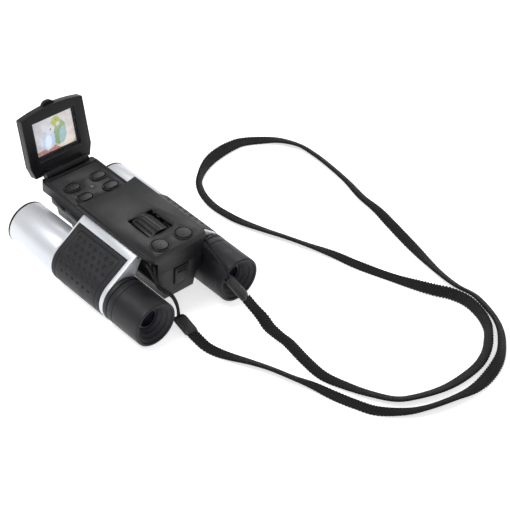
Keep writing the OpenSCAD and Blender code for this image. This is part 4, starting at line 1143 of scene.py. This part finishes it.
@dataclass
class Controls:
    """Focus wheel, keys and their rims, and the dioptre ring."""

    deck: float = 51.0
    panel: float = 44.4
    key_x: float = 10.7
    rows: tuple = (36.47, 22.97)
    deck_x: float = 9.8
    deck_y: float = -51.63
    proud: float = 0.78

    def build_rims(self, shop: Workshop) -> None:
        """Builds the raised rims round the keys.

        Args:
            shop: The workshop that makes and keeps the pieces.
        """
        for row, y in zip(("front", "rear"), self.rows):
            for side in Side:
                bm = hoop(side.value * self.key_x, y, self.panel - 0.05, 12.9, 9.3, 0.8, 0.75)
                shop.add(f"key_rim_{row}_{side.word}", bm, KEY_RIM, "casing", "case_plastic")
        for side in Side:
            bm = hoop(side.value * self.deck_x, self.deck_y, self.deck - 0.05, 13.2, 13.2, 0.75, 0.55)
            shop.add(f"deck_rim_{side.word}", bm, KEY_RIM, "casing", "case_plastic")

    def build_marks(self, shop: Workshop) -> None:
        """Builds small plain marks on three keys: a triangle, a dot and a square outline.

        Args:
            shop: The workshop that makes and keeps the pieces.
        """
        top = self.deck + self.proud
        bm = bmesh.new()
        bmesh.ops.create_cone(bm, cap_ends=True, segments=3, radius1=1.4 * MM, radius2=1.2 * MM,
                              depth=0.2 * MM)
        bmesh.ops.translate(bm, vec=(-self.deck_x * MM, self.deck_y * MM, (top + 0.05) * MM), verts=bm.verts)
        shop.add("record_mark", bm, MARK, "key_record", "key_plastic")
        bm = hoop(self.deck_x, self.deck_y, top, 2.6, 2.6, 0.5, 0.15)
        shop.add("snap_mark", bm, MARK, "key_snap", "key_plastic")
        bm = hoop(-self.key_x, self.rows[0], self.panel + self.proud, 3.2, 2.2, 0.4, 0.15)
        shop.add("menu_mark", bm, MARK, "key_menu", "key_plastic")

    def build(self, shop: Workshop) -> None:
        """Builds the rims and marks, and softens the moving controls.

        Args:
            shop: The workshop that makes and keeps the pieces.
        """
        self.build_rims(shop)
        self.build_marks(shop)
        for name in ("menu", "mode", "up", "down", "record", "snap"):
            shop.soften(f"{name}_button", KEY, f"key_{name}", "key_plastic", 0.0003, 3)
        shop.soften("focus_wheel", KEY, "wheel", "key_plastic", 0.00025)
        shop.soften("dioptre_ring", CUP, "dioptre", "soft_rubber", 0.0002)
        shop.soften("base_ring_left", CUP, "wing_left", "soft_rubber", 0.0003)
        shop.dress("focus_screw", BRASS)
        shop.dress("focus_carriage", BRIDGE)


@dataclass
class ScreenLid:
    """The flip-up lid with its lit screen."""

    hinge: tuple = (0.0, 56.97, 44.7)
    lean: float = -16.0
    screen: tuple = (33.6, 25.2, 11.0)

    def frame(self) -> Matrix:
        """Returns the lid's own frame: X across, Y away from its face, Z up the lid."""
        return Matrix.Translation(Vector(self.hinge) * MM) @ Matrix.Rotation(math.radians(self.lean), 4, "X")

    def build(self, shop: Workshop) -> None:
        """Builds the lid's shells, a thin lip under the screen made pale as a painted highlight, the picture and its
        window.

        Args:
            shop: The workshop that makes and keeps the pieces.
        """
        shop.soften("lid_frame", LID, "lid", "case_plastic", 0.0011, 4)
        shop.soften("lid_back", LID, "lid", "case_plastic", 0.0008, 3)
        wide, tall, low = self.screen
        centre = self.frame() @ (Vector((0.0, 6.4, low + tall / 2)) * MM)
        display = Display("display_finish", centre=tuple(centre), lean=math.radians(self.lean))
        shop.dress("screen_panel", display)
        shop.dress("screen_window", CLEAR)
        # A real thin lip under the screen, coloured pale as a painted highlight along it.
        bm = bar((-wide / 2 - 0.6, 3.2, low - 2.2), (wide / 2 + 0.6, 3.8, low - 1.75), 0.15, self.frame())
        shop.add("screen_lip_painted_highlight", bm, MARK, "lid", "case_plastic")


def main() -> None:
    """Builds the scene: the camera and cords first, then each sub-assembly."""
    logging.basicConfig(level=logging.INFO, format="%(name)s: %(message)s")
    studio = Studio()
    studio.camera()
    shop = Workshop()
    Strap().build(shop)
    for side in Side:
        Barrel(side).build(shop)
    Casing().build(shop)
    Controls().build(shop)
    ScreenLid().build(shop)
    studio.lights()
    studio.floor()
    log.info("%d pieces made", shop.count)


if __name__ == "__main__":
    main()
